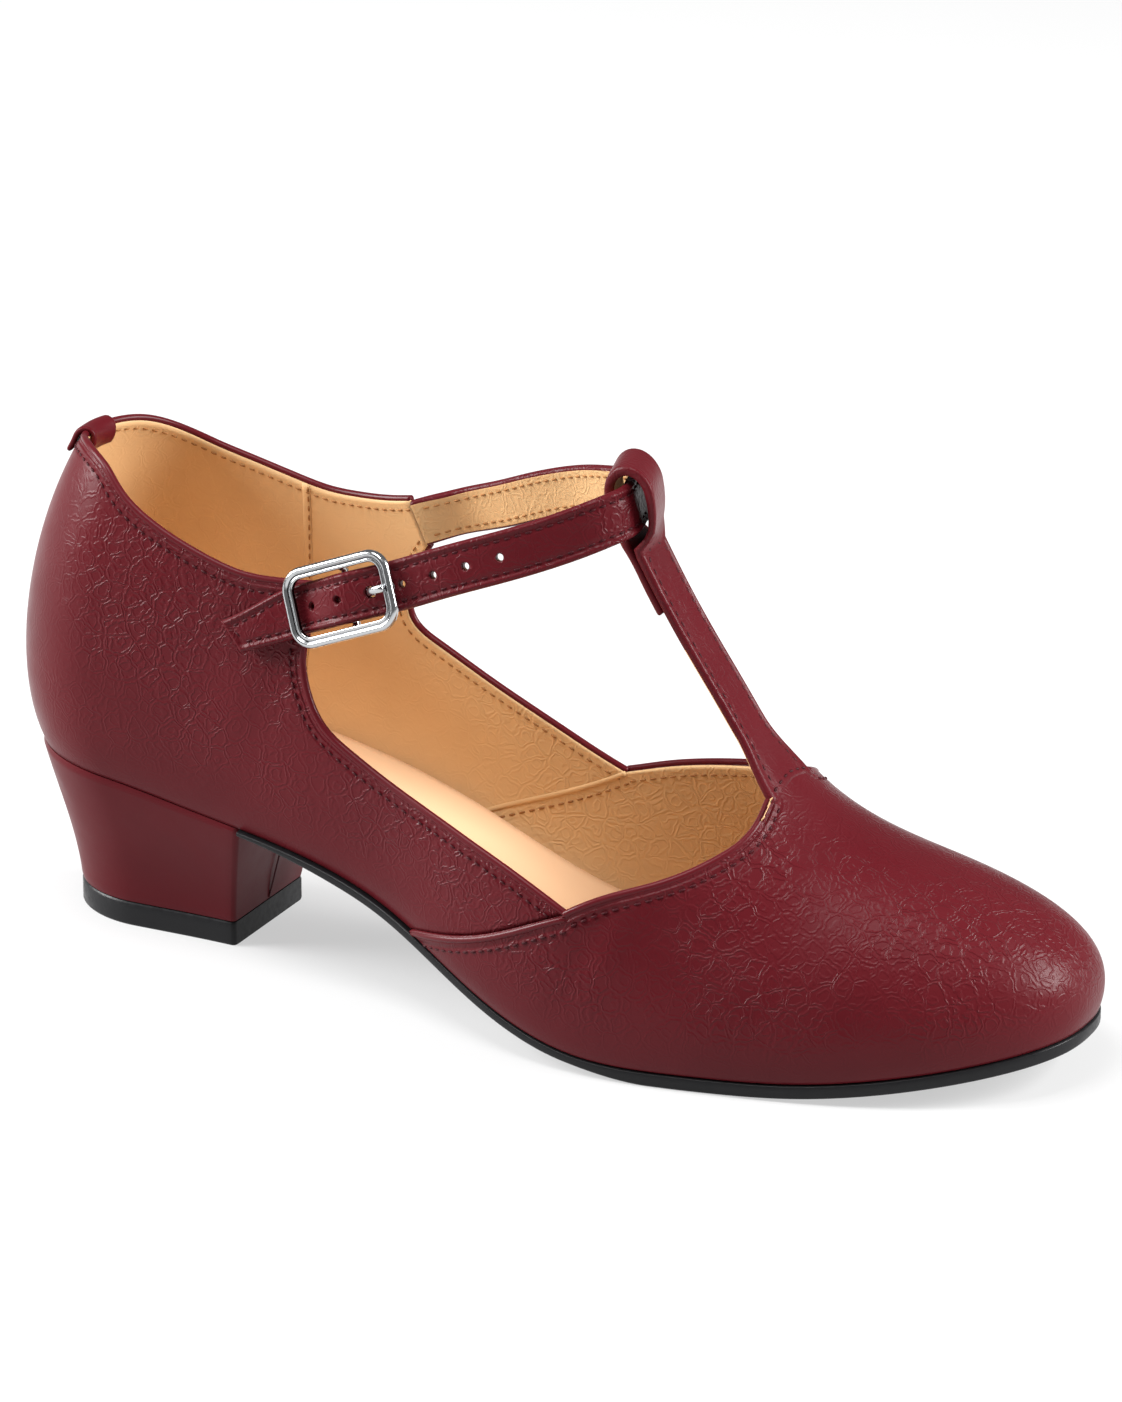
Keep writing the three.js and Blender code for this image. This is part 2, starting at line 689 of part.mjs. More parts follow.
function makeInsole() {
  const turns = outlineTurns(0, 1, SOLE_STATIONS + HEEL_STATIONS);
  const inset = UPPER_WALL + LAP_STEP / 2 + FIT_GAP;
  return stripSolid([
    sheetAcross(turns, inset - INSOLE_FLARE, (x) => featherHeight(x) + INSOLE_THICKNESS),
    sheetAcross(turns, inset, featherHeight),
  ], SIDES.length);
}

// One level of the heel, from its seat (0) down to the lift (1)
function heelSheet(level, inset, heightAt) {
  const turns = outlineTurns(0, turnAt(HEEL_SEAT_LENGTH), HEEL_STATIONS);
  const fall = level + HEEL_WAIST * level * level * (1 - level);
  const liftLengthShare = LIFT_LENGTH / HEEL_SEAT_LENGTH;
  const liftWidthShare = LIFT_WIDTH / (BALL_WIDTH * (lastValue('lateral', HEEL_SEAT_LENGTH) +
    lastValue('medial', HEEL_SEAT_LENGTH)));
  const sheet = [];
  turns.forEach((turn, i) => {
    for (const side of SIDES) {
      const seat = planPoint(side, turn, inset);
      const corner = i === HEEL_STATIONS ? BREAST_CORNER : 0;
      const x = seat[0] + fall * (LIFT_BACK_INSET + seat[0] * (liftLengthShare - 1));
      const y = seat[1] * (1 + fall * (liftWidthShare - 1)) - OUTWARD[side] * corner;
      sheet.push(new THREE.Vector3(x, y, heightAt(seat[0])));
    }
  });
  return sheet;
}

function makeHeelBlock() {
  const foot = LIFT_THICKNESS + FIT_GAP;
  const sheets = [];
  for (let level = 0; level <= HEEL_LEVELS; level++) {
    const share = level / HEEL_LEVELS;
    const heightAt = (x) => foot + (featherHeight(x) - FIT_GAP - foot) * (1 - share);
    sheets.push(heelSheet(share, 0, heightAt));
  }
  return stripSolid(sheets, SIDES.length);
}

function makeTopLift() {
  return stripSolid([
    heelSheet(1, 0, () => LIFT_THICKNESS),
    heelSheet(1, 0, () => LIFT_BEVEL),
    heelSheet(1, LIFT_BEVEL, () => 0),
  ], SIDES.length);
}

// The ankle strap's path and the places that hang on it

function pathPoint({ along, across, rise }) {
  const x = SHOE_LENGTH * along;
  return new THREE.Vector3(x, BALL_WIDTH * across, featherHeight(x) + INSTEP_RISE * rise);
}

// Directions at a place of the strap: run along it, out of the shoe, and up its width
function strapFrame(run) {
  const flat = UP.clone().cross(run).normalize();
  const rising = run.clone().cross(flat).normalize();
  const out = flat.clone().multiplyScalar(Math.cos(STRAP_LEAN)).addScaledVector(rising, Math.sin(STRAP_LEAN));
  const width = flat.multiplyScalar(-Math.sin(STRAP_LEAN)).addScaledVector(rising, Math.cos(STRAP_LEAN));
  return { out, width };
}

const buckleFront = pathPoint(BUCKLE_FRONT);
const buckleBack = pathPoint(BUCKLE_BACK);
const buckleRun = buckleBack.clone().sub(buckleFront).normalize();
const buckleMiddle = buckleFront.clone().add(buckleBack).multiplyScalar(0.5);
const buckleFrame = strapFrame(buckleRun);
const wireRadius = BUCKLE_WIRE / 2;
const barRadius = CENTRE_BAR / 2;
const halfStrap = STRAP_THICKNESS / 2;
const frameLift = halfStrap + BUCKLE_LIFT_GAP + wireRadius;
const strapBump = barRadius + 2 * FIT_GAP + BUCKLE_TAB_WRAP + halfStrap - BAR_SINK;

// A point by the buckle: along the strap towards its tail, out of the shoe, up its width
function byBuckle(along, out, width) {
  return buckleMiddle.clone()
    .addScaledVector(buckleRun, along)
    .addScaledVector(buckleFrame.out, out)
    .addScaledVector(buckleFrame.width, width);
}

function ankleStations() {
  const [top, bottom] = UPPER_EDGES.medial.find((edge) => edge.name === 'strap seam').points;
  const seamTop = lastPoint('medial', SHOE_LENGTH * top[0], top[1]);
  const seamBottom = lastPoint('medial', SHOE_LENGTH * bottom[0], bottom[1]);
  const seamX = SHOE_LENGTH * (top[0] + bottom[0]) / 2;
  const seamNormal = lastFrame('medial', seamX, (top[1] + bottom[1]) / 2).normal;
  const seamWidth = seamTop.clone().sub(seamBottom).normalize();
  const seamRun = seamWidth.clone().cross(seamNormal).normalize();
  if (seamRun.x < 0) seamRun.negate();
  const start = seamTop.add(seamBottom).multiplyScalar(0.5)
    .addScaledVector(seamRun, 2 * FIT_GAP)
    .addScaledVector(seamNormal, -halfStrap - LAP_STEP / 2);
  const points = [start, ...ANKLE_PATH.map(pathPoint)];
  const halfFrame = BUCKLE_LENGTH / 2 - wireRadius;
  for (const along of [-halfFrame, -halfFrame / 2, 0, halfFrame / 2, halfFrame]) {
    const bump = strapBump * Math.cos(Math.PI * along / (2 * halfFrame)) ** 2;
    points.push(byBuckle(along, bump, 0));
  }
  const tailRun = buckleRun.clone().multiplyScalar(Math.cos(TAIL_DIP))
    .addScaledVector(buckleFrame.width, -Math.sin(TAIL_DIP));
  for (const part of [1 / 3, 2 / 3, 1]) {
    const tail = byBuckle(halfFrame, 0, 0).addScaledVector(tailRun, TAIL_LENGTH * part);
    const skin = skinAt('lateral', tail.x, tail.z);
    tail.y = Math.min(tail.y, skin.y + OUTWARD.lateral * (halfStrap + 2 * FIT_GAP - LAP_STEP / 2));
    points.push(tail);
  }
  const curve = new THREE.CatmullRomCurve3(points, false, 'centripetal');
  const stations = [];
  const spans = points.length - 1;
  for (let i = 0; i <= spans * STRAP_STEPS; i++) {
    const part = i / (spans * STRAP_STEPS);
    const run = curve.getTangent(part);
    const { out, width } = strapFrame(run);
    const free = smooth(i / STRAP_STEPS);
    out.lerp(seamNormal, 1 - free).normalize();
    width.lerp(seamWidth, 1 - free).normalize();
    const tail = smooth(1 - (1 - part) * spans / 3);
    const halfWidth = (STRAP_WIDTH + (TAIL_WIDTH - STRAP_WIDTH) * tail) / 2;
    stations.push({ centre: curve.getPoint(part), run, out, width, halfWidth });
  }
  return stations;
}

function makeAnkleStrap() {
  const front = [];
  const back = [];
  const stations = ankleStations();
  stations.forEach(({ centre, run, out, width, halfWidth }, i) => {
    const toEnd = (stations.length - 1 - i) / STRAP_STEPS;
    const skew = smooth(1 - toEnd) * TAIL_SKEW / 2;
    for (const edge of [-1, 1]) {
      const place = centre.clone()
        .addScaledVector(width, edge * halfWidth)
        .addScaledVector(run, edge * skew);
      front.push(place.clone().addScaledVector(out, halfStrap));
      back.push(place.clone().addScaledVector(out, -halfStrap));
    }
  });
  const strap = toManifold(stripSolid([front, back], 2));
  const drill = [
    byBuckle(-PRONG_HOLE_PLACE, -3 * STRAP_THICKNESS, 0),
    byBuckle(-PRONG_HOLE_PLACE, 3 * STRAP_THICKNESS, 0),
  ];
  const hole = toManifold(wireSolid(drill, PRONG_HOLE / 2, buckleRun, false));
  return fromManifold(strap.subtract(hole));
}

// The T-strap with its loop

// Half the loop's opening, front to back, at a height above the strap's middle
function loopHalfDepth(height) {
  const depth = halfStrap + LOOP_SLACK;
  const wide = STRAP_WIDTH / 2 - LOOP_CROWN_DROP;
  if (height >= wide) {
    const crown = STRAP_WIDTH / 2 + LOOP_HEAD - wide;
    return depth * Math.sqrt(Math.max(0, 1 - ((height - wide) / crown) ** 2));
  }
  const taper = wide + STRAP_WIDTH / 2 + LOOP_FOOT;
  return depth * Math.max(0, 1 - ((wide - height) / taper) ** LOOP_TAPER_POWER);
}

// The front face's middle line: from the vamp up, round the loop, and down its back
function tStrapLine() {
  const centre = pathPoint(LOOP_PLACE);
  centre.y = 0;
  const out = new THREE.Vector3(Math.cos(STRAP_LEAN), 0, Math.sin(STRAP_LEAN));
  const up = new THREE.Vector3(-Math.sin(STRAP_LEAN), 0, Math.cos(STRAP_LEAN));
  const at = (depth, height) => centre.clone().addScaledVector(out, depth).addScaledVector(up, height);
  const foot = -STRAP_WIDTH / 2 - LOOP_FOOT;
  const wide = STRAP_WIDTH / 2 - LOOP_CROWN_DROP;
  const crown = STRAP_WIDTH / 2 + LOOP_HEAD - wide + LOOP_WALL;
  const depth = halfStrap + LOOP_SLACK + LOOP_WALL;
  const loop = [];
  for (let i = 0; i <= LOOP_STEPS; i++) {
    const angle = Math.PI * i / LOOP_STEPS;
    loop.push(at(depth * Math.cos(angle), wide + crown * Math.sin(angle)));
  }
  const frontLeg = [];
  const backLeg = [];
  for (let i = 1; i <= LOOP_LEG_STEPS; i++) {
    const height = foot + (wide - foot) * i / (LOOP_LEG_STEPS + 1);
    frontLeg.push(at(loopHalfDepth(height) + LOOP_WALL, height));
    backLeg.unshift(at(-loopHalfDepth(height) - LOOP_WALL, height));
  }
  const rise = T_STRAP_PATH.map(pathPoint);
  return { foot: at(LOOP_WALL, foot), rise, frontLeg, loop, backLeg, at, footHeight: foot };
}

// Columns across the strap: on the vamp's own skin at the base, straight across above
function tStrapRow(point, outward, halfWidth, depth, base, hold) {
  const row = [];
  for (let k = 0; k < T_STRAP_COLUMNS; k++) {
    const across = 2 * k / (T_STRAP_COLUMNS - 1) - 1;
    const place = point.clone().addScaledVector(ACROSS, across * halfWidth);
    const held = base[k].point.clone().add(point).sub(base[(T_STRAP_COLUMNS - 1) / 2].point);
    held.y = base[k].point.y;
    place.lerp(held, hold);
    const out = outward.clone().lerp(base[k].normal, hold).normalize();
    row.push(place.addScaledVector(out, -depth));
  }
  return row;
}

function tStrapBase() {
  const share = (y) => TONGUE_EDGE.points[0][0] + (TONGUE_EDGE.points[2][0] - TONGUE_EDGE.points[0][0]) * y;
  const base = [];
  const middle = (T_STRAP_COLUMNS - 1) / 2;
  for (let k = 0; k < T_STRAP_COLUMNS; k++) {
    const side = k < middle ? 'lateral' : 'medial';
    const toMiddle = 1 - Math.abs(k - middle) / middle;
    const girth = TONGUE_EDGE.points[0][1] + (1 - TONGUE_EDGE.points[0][1]) * toMiddle;
    const x = SHOE_LENGTH * share(toMiddle) - 3 * FIT_GAP;
    const { normal } = lastFrame(side, x, Math.min(girth, SPINE_NEAR));
    if (k === middle) normal.setY(0).normalize();
    const point = lastPoint(side, x, girth).addScaledVector(normal, LAP_STEP / 2);
    base.push({ point, normal });
  }
  return base;
}

function makeTStrap() {
  const { foot, rise, frontLeg, loop, backLeg, at, footHeight } = tStrapLine();
  const base = tStrapBase();
  const middle = (T_STRAP_COLUMNS - 1) / 2;
  const start = base[middle].point.clone();
  const toFoot = new THREE.CatmullRomCurve3([start, ...rise, foot], false, 'centripetal');
  const lower = toFoot.getSpacedPoints(T_STRAP_STEPS);
  lower.forEach((point) => point.setY(point.y * (1 - smooth(point.distanceTo(start) / T_STRAP_FLARE))));
  const line = [...lower, ...frontLeg, ...loop, ...backLeg];
  const frontRows = [];
  const backRows = [];
  const outwardAt = (i) => {
    const before = line[Math.max(i - 1, 0)];
    const after = line[Math.min(i + 1, line.length - 1)];
    const run = after.clone().sub(before).normalize();
    return ACROSS.clone().cross(run).normalize();
  };
  line.forEach((point, i) => {
    const hold = 1 - smooth(point.distanceTo(start) / T_STRAP_FLARE);
    const onStrap = i < lower.length;
    const thick = onStrap ? T_STRAP_THICKNESS : LOOP_WALL;
    const outward = outwardAt(i);
    frontRows.push(...tStrapRow(point, outward, T_STRAP_WIDTH / 2, 0, base, onStrap ? hold : 0));
    backRows.push(...tStrapRow(point, outward, T_STRAP_WIDTH / 2, thick, base, onStrap ? hold : 0));
  });
  const strap = toManifold(stripSolid([frontRows, backRows], T_STRAP_COLUMNS));
  const fold = toManifold(foldedEnd(line, lower.length, outwardAt, at, footHeight));
  const geometry = fromManifold(strap.add(fold));
  return yawLoop(geometry, foot.z);
}

// The loop's end, folded back and stitched behind the strap
function foldedEnd(line, footIndex, outwardAt, at, footHeight) {
  const halfWidth = T_STRAP_WIDTH / 2 - FOLD_INSET;
  const front = [];
  const back = [];
  const addRow = (frontPoint, backPoint) => {
    for (const edge of [-1, 1]) {
      front.push(frontPoint.clone().addScaledVector(ACROSS, edge * halfWidth));
      back.push(backPoint.clone().addScaledVector(ACROSS, edge * halfWidth));
    }
  };
  const foot = footIndex - 1;
  let low = foot;
  while (line[low].distanceTo(line[foot]) < FOLD_LENGTH) low--;
  for (let i = low; i < foot; i++) {
    const outward = outwardAt(i);
    addRow(
      line[i].clone().addScaledVector(outward, FOLD_INSET - T_STRAP_THICKNESS),
      line[i].clone().addScaledVector(outward, -T_STRAP_THICKNESS - FOLD_THICKNESS),
    );
  }
  const inWall = LOOP_WALL / 2;
  addRow(at(inWall, footHeight), at(-LOOP_WALL, footHeight));
  const shut = footHeight + LOOP_FOOT * LOOP_SHUT_SHARE;
  addRow(at(loopHalfDepth(shut) + inWall, shut), at(-loopHalfDepth(shut) - inWall, shut));
  return stripSolid([front, back], 2);
}

// The ankle strap turns the loop a little towards the lateral side
function yawLoop(geometry, fromHeight) {
  const position = geometry.getAttribute('position');
  for (let i = 0; i < position.count; i++) {
    const turn = LOOP_YAW * smooth((position.getZ(i) - fromHeight) / LOOP_FOOT);
    position.setX(i, position.getX(i) - turn * position.getY(i));
  }
  return geometry;
}

// The small tab folded over the collar at the back of the heel

// Where the collar's edge lies a distance out from the middle of the heel
function collarPlace(side, out) {
  const reached = ([share, girth]) => Math.abs(lastPoint(side, SHOE_LENGTH * share, girth).y) >= out;
  const [share, girth] = edgeCurve(side, UPPER_EDGES[side][0].points, CURVE_SAMPLES).find(reached);
  return { side, x: SHOE_LENGTH * share, girth };
}

// Each row of the tab: near face and far face, as places out of the last's skin and up from the collar
function heelTabRows() {
  const outer = HEEL_TAB_GAP - LAP_STEP / 2;
  const inner = -UPPER_WALL - HEEL_TAB_GAP;
  const thick = HEEL_TAB_THICKNESS;
  const over = HEEL_TAB_GAP;
  return [
    [outer, -HEEL_TAB_DROP, outer + thick, -HEEL_TAB_DROP],
    [outer, -HEEL_TAB_DROP / 2, outer + thick, -HEEL_TAB_DROP / 2],
    [outer, 0, outer + thick, over],
    [outer - over, over, outer + thick / 2, over + thick],
    [inner + over, over, inner - thick / 2, over + thick],
    [inner, 0, inner - thick, over],
    [inner, -HEEL_TAB_INSIDE_DROP, inner - thick, -HEEL_TAB_INSIDE_DROP],
  ];
}

function makeHeelTab() {
  const columns = [
    collarPlace('lateral', HEEL_TAB_WIDTH / 2),
    collarPlace('lateral', 0),
    collarPlace('medial', HEEL_TAB_WIDTH / 2),
  ];
  const sheets = [[], []];
  for (const [nearOut, nearUp, farOut, farUp] of heelTabRows()) {
    for (const { side, x, girth } of columns) {
      const place = lastPoint(side, x, girth);
      const { normal, upward } = lastFrame(side, x, girth);
      if (x === 0) normal.setY(0).normalize();
      sheets[0].push(place.clone().addScaledVector(normal, farOut).addScaledVector(upward, farUp));
      sheets[1].push(place.clone().addScaledVector(normal, nearOut).addScaledVector(upward, nearUp));
    }
  }
  return stripSolid(sheets, columns.length);
}

// Buckle

function makeBuckleFrame() {
  const halfLength = BUCKLE_LENGTH / 2 - wireRadius;
  const halfWidth = STRAP_WIDTH / 2 + BUCKLE_SIDE_SLACK + wireRadius;
  const round = BUCKLE_CORNER - wireRadius;
  const loop = [];
  for (const [endways, sideways, from] of [[1, 1, 0], [-1, 1, 1], [-1, -1, 2], [1, -1, 3]]) {
    for (let i = 0; i <= FRAME_CORNER_STEPS; i++) {
      const angle = Math.PI / 2 * (from + i / FRAME_CORNER_STEPS);
      const along = endways * (halfLength - round) + round * Math.cos(angle);
      const width = sideways * (halfWidth - round) + round * Math.sin(angle);
      loop.push(byBuckle(along, frameLift, width));
    }
  }
  const frame = toManifold(wireSolid(loop, wireRadius, buckleFrame.out, true));
  const bend = halfWidth - BAR_BEND_INSET;
  const bar = [
    byBuckle(0, frameLift, halfWidth),
    byBuckle(0, (frameLift - BAR_SINK) / 2, halfWidth - wireRadius / 3),
    byBuckle(0, -BAR_SINK, bend),
    byBuckle(0, -BAR_SINK, -bend),
    byBuckle(0, (frameLift - BAR_SINK) / 2, wireRadius / 3 - halfWidth),
    byBuckle(0, frameLift, -halfWidth),
  ];
  return fromManifold(frame.add(toManifold(wireSolid(bar, barRadius, buckleRun, false))));
}

// One bent wire: an open hook round the centre bar, up through the strap's hole, out over the front bar
function makeBuckleProng() {
  const radius = PRONG_WIRE / 2;
  const hook = barRadius + FIT_GAP + radius;
  const points = [];
  for (const angle of [PRONG_HOOK_START, 0, -PRONG_HOOK_START, -Math.PI / 2, -Math.PI / 2 - PRONG_HOOK_START]) {
    points.push(byBuckle(hook * Math.cos(angle), hook * Math.sin(angle) - BAR_SINK, 0));
  }
  const far = BUCKLE_LENGTH / 2;
  const atHole = strapBump * Math.cos(Math.PI * PRONG_HOLE_PLACE / (BUCKLE_LENGTH - BUCKLE_WIRE)) ** 2;
  const rest = frameLift + wireRadius + FIT_GAP + radius;
  const within = PRONG_HOLE_PLACE - radius;
  points.push(byBuckle(-within, atHole - halfStrap - FIT_GAP - radius, 0));
  points.push(byBuckle(-PRONG_HOLE_PLACE, atHole, 0));
  points.push(byBuckle(-PRONG_HOLE_PLACE - radius, atHole + halfStrap + radius, 0));
  points.push(byBuckle(wireRadius + radius - far, rest, 0));
  points.push(byBuckle(-far, rest, 0));
  const wire = new THREE.CatmullRomCurve3(points, false, 'centripetal').getSpacedPoints(PRONG_STEPS);
  return wireSolid(wire, radius, buckleFrame.width, false);
}

function placeAtBuckle(geometry) {
  const across = buckleFrame.width.clone();
  const out = buckleFrame.out.clone();
  const turn = new THREE.Matrix4().makeBasis(buckleRun, out, buckleRun.clone().cross(out));
  const flip = Math.sign(buckleRun.clone().cross(out).dot(across));
  geometry.scale(1, 1, flip);
  geometry.applyMatrix4(turn.setPosition(buckleMiddle));
  return geometry;
}

function makeBuckleTab() {
  const inner = barRadius + FIT_GAP;
  const outer = inner + BUCKLE_TAB_WRAP;
  const stem = BUCKLE_TAB_THICKNESS / 2;
  const shape = new THREE.Shape();
  const start = Math.asin(stem / outer);
  shape.moveTo(BUCKLE_TAB_LENGTH, stem - BAR_SINK);
  shape.absarc(0, -BAR_SINK, outer, start, 2 * Math.PI - start, false);
  shape.lineTo(BUCKLE_TAB_LENGTH, -stem - BAR_SINK);
  shape.closePath();
  const hole = new THREE.Path();
  hole.absarc(0, -BAR_SINK, inner, 0, 2 * Math.PI, true);
  shape.holes.push(hole);
  const width = STRAP_WIDTH - 2 * BUCKLE_TAB_INSET;
  const body = new THREE.ExtrudeGeometry(shape, { depth: width, bevelEnabled: false, curveSegments: WIRE_SIDES });
  body.translate(0, 0, -width / 2);
  const slotWidth = PRONG_WIRE + 2 * PRONG_SLOT_SLACK;
  const slot = new THREE.BoxGeometry(4 * outer, 4 * outer, slotWidth);
  slot.translate(-outer / 2, -BAR_SINK, 0);
  body.deleteAttribute('normal');
  body.deleteAttribute('uv');
  slot.deleteAttribute('normal');
  slot.deleteAttribute('uv');
  return placeAtBuckle(fromManifold(toManifold(body).subtract(toManifold(slot))));
}

// The shoe

function leather(color, roughness) {
  return new THREE.MeshStandardMaterial({ color, roughness, metalness: 0 });
}

const burgundy = leather(0x5e1a28, 0.45);
const smoothBurgundy = leather(0x571724, 0.4);
const beige = leather(0xd39a5f, 0.6);
const black = leather(0x0b0b0c, 0.35);
const steel = new THREE.MeshStandardMaterial({ color: 0xc9cccf, roughness: 0.2, metalness: 1 });

const shoe = new THREE.Group();
const liftMiddle = LIFT_BACK_INSET + LIFT_LENGTH / 2;
const pieces = [
  ['upper', makeUpper(), burgundy],
  ['insole', makeInsole(), beige],
  ['outsole', makeOutsole(), black],
  ['heel_block', makeHeelBlock(), smoothBurgundy],
  ['top_lift', makeTopLift(), black],
  ['t_strap', makeTStrap(), burgundy],
  ['ankle_strap', makeAnkleStrap(), burgundy],
  ['heel_tab', makeHeelTab(), smoothBurgundy],
  ['buckle_tab', makeBuckleTab(), burgundy],
  ['buckle_frame', makeBuckleFrame(), steel],
  ['buckle_prong', makeBuckleProng(), steel],
];
for (const [name, geometry, material] of pieces) {
  const mesh = new THREE.Mesh(geometry, material);
  mesh.name = name;
  shoe.add(mesh);
}
shoe.position.x = -liftMiddle;

export default shoe;
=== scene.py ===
import math

import bmesh
import bpy
import numpy as np
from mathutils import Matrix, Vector


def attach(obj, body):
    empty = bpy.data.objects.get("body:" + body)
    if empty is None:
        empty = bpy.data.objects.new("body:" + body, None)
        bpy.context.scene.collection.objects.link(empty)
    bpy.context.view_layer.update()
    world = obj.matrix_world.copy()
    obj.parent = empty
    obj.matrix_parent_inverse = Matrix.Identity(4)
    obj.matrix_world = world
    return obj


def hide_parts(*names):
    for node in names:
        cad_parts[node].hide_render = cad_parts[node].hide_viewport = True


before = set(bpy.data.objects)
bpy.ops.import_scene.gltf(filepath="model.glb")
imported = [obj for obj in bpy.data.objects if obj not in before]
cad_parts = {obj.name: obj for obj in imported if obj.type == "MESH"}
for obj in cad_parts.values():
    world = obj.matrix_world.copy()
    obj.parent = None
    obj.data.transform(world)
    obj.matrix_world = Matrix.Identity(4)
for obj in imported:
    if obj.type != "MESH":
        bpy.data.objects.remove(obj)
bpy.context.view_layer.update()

# A right shoe in metres: +X to the toe, +Y to the inner (medial) side, +Z up, floor at z = 0.
# The shapes below are worked out in the last's own frame, with x = 0 at the back of the heel seat.

# The last
SHOE_LENGTH = 0.250
BALL_WIDTH = 0.078
HEEL_SEAT_HEIGHT = 0.0415
TOE_SPRING = 0.0092
INSTEP_RISE = 0.104
SIDE_BULGE = 0.012
SIDE_RISE = 0.023
TOE_SWING = 0.005
TOE_SWING_START = 0.6
HEEL_ROUND_LENGTH = 0.027
TOE_ROUND_LENGTH = 0.063
TOE_ROUND_POWER = 2.35
SPINE_BACK_INSET = 0.038
SPINE_TOE_INSET = 0.042
SPINE_SOFTNESS = 0.008

# Leather, board and fit
UPPER_WALL = 0.0022
LINING_WALL = 0.0009
LAP_STEP = 0.0009
FIT_GAP = 0.0003
OUTSOLE_THICKNESS = 0.0032
OUTSOLE_WAIST_THICKNESS = 0.0021
OUTSOLE_WAIST_END = 0.6
OUTSOLE_WAIST_FADE = 0.08
OUTSOLE_BREAST_THIN = 0.0009
OUTSOLE_BREAST_FADE = 0.028
OUTSOLE_EDGE = 0.0008
OUTSOLE_ROUND = 0.0007
OUTSOLE_STEPS = 160
INSOLE_THICKNESS = 0.0042
INSOLE_FLARE = 0.0009
INSOLE_DISH = 0.0012
INSOLE_DISH_FADE = 0.02
INSOLE_STEPS = 150
INSOLE_ROWS = 25
BALL_HEIGHT = OUTSOLE_THICKNESS + FIT_GAP

# Heel
HEEL_SEAT_LENGTH = 0.061
LIFT_LENGTH = 0.0466
LIFT_WIDTH = 0.0316
LIFT_BACK_INSET = 0.0072
LIFT_THICKNESS = 0.0055
LIFT_BEVEL = 0.0005
HEEL_WAIST = 0.6
BREAST_CORNER = 0.0013
SEAT_GROOVE = 0.0005
SEAT_GROOVE_SHARE = 0.03
BREAST_CORNER_STEPS = 6
BREAST_SEAM_STEPS = 12
BREAST_SEAM_RISE = 0.0002
BREAST_SEAM_HALF = 0.0003
HEEL_STEPS = 60

# Straps, loop, tab and buckle
STRAP_WIDTH = 0.011
STRAP_THICKNESS = 0.0022
STRAP_LEAN = math.radians(14)
TAIL_WIDTH = 0.0082
TAIL_SKEW = 0.0024
TAIL_LENGTH = 0.0177
TAIL_CUT_LENGTH = 0.006
SEAM_BLEND = 0.012
TAIL_DIP = math.radians(5.5)
TAIL_LIFT = 0.0005
T_STRAP_WIDTH = 0.0124
T_STRAP_THICKNESS = 0.002
T_STRAP_FLARE = 0.014
T_STRAP_LAP = 0.0012
T_STRAP_STEPS = 60
T_STRAP_UNLINED = 24
T_STRAP_BEAD = 0.00012
T_STRAP_VALLEY = 0.00014
T_STRAP_FOOT_STITCH = 0.0016
CROWN_STEPS = 23
LOOP_RIM = 0.0006
LOOP_WALL = 0.0017
LOOP_SLACK = 0.0026
LOOP_HEAD = 0.0018
LOOP_FOOT = 0.0045
LOOP_CROWN_DROP = 0.003
LOOP_TAPER_POWER = 2.6
LOOP_YAW = 0.3
FOLD_LENGTH = 0.013
FOLD_THICKNESS = 0.0016
FOLD_INSET = 0.00015
HEEL_TAB_WIDTH = 0.011
HEEL_TAB_THICKNESS = 0.0013
HEEL_TAB_DROP = 0.0056
HEEL_TAB_INSIDE_DROP = 0.0038
HEEL_TAB_GAP = 0.0004
HEEL_TAB_CROWN = 0.0007
HEEL_TAB_PITCH = 0.0006
BUCKLE_LENGTH = 0.0275
BUCKLE_SIDE_SLACK = 0.001
BUCKLE_LIFT_GAP = 0.0006
BUCKLE_WIRE = 0.0022
BUCKLE_CORNER = 0.005
BAR_SINK = 0.0014
CENTRE_BAR = 0.0018
BAR_BEND = 0.0014
PRONG_HALF_WIDTH = 0.0009
PRONG_HALF_HEIGHT = 0.00065
PRONG_HOLE_PLACE = 0.0069
PRONG_STEPS = 90
PRONG_TIP = 0.0007
PRONG_HOLE = 0.0026
STRAP_HOLE = 0.0017
HOLE_PITCH = 0.0077
HOLE_NUMBERS = range(-4, 3)
HOLE_SEARCH = 2000
BUCKLE_TAB_THICKNESS = 0.0018
BUCKLE_TAB_WRAP = 0.0011
BUCKLE_TAB_LENGTH = 0.008
BUCKLE_TAB_WIDTH = STRAP_WIDTH - 0.002
PRONG_SLOT_WIDTH = 0.0027

# Edges, stitches and their places from the leather's edge
PIPING_RADIUS = 0.00085
PIPING_SINK = 0.0005
LINING_CORD_RADIUS = 0.00045
PIPING_RISE = 0.0001
LINING_DROP = 0.0005
LINING_LAP_INSET = 0.0024
LINING_SEAM = (0.207, 0.185)
LINING_SEAM_HALF = 0.0011
LINING_SEAM_FOOT = 0.04
LINING_SEAM_STEPS = 40
LINING_SEAM_SAMPLES = 66
LINING_SEAM_RISE = 0.00025
STITCH_PITCH = 0.0024
STITCH_LENGTH = 0.0015
STITCH_RADIUS = 0.00024
STITCH_INSET = 0.0027
LINING_STITCH_INSET = 0.0021
STRAP_STITCH_INSET = 0.0021
STITCH_SINK = 0.0002
LINING_LAP_HALF = 0.0006
LINING_LAP_RISE = 0.00035
T_STRAP_ARCH = 0.0035

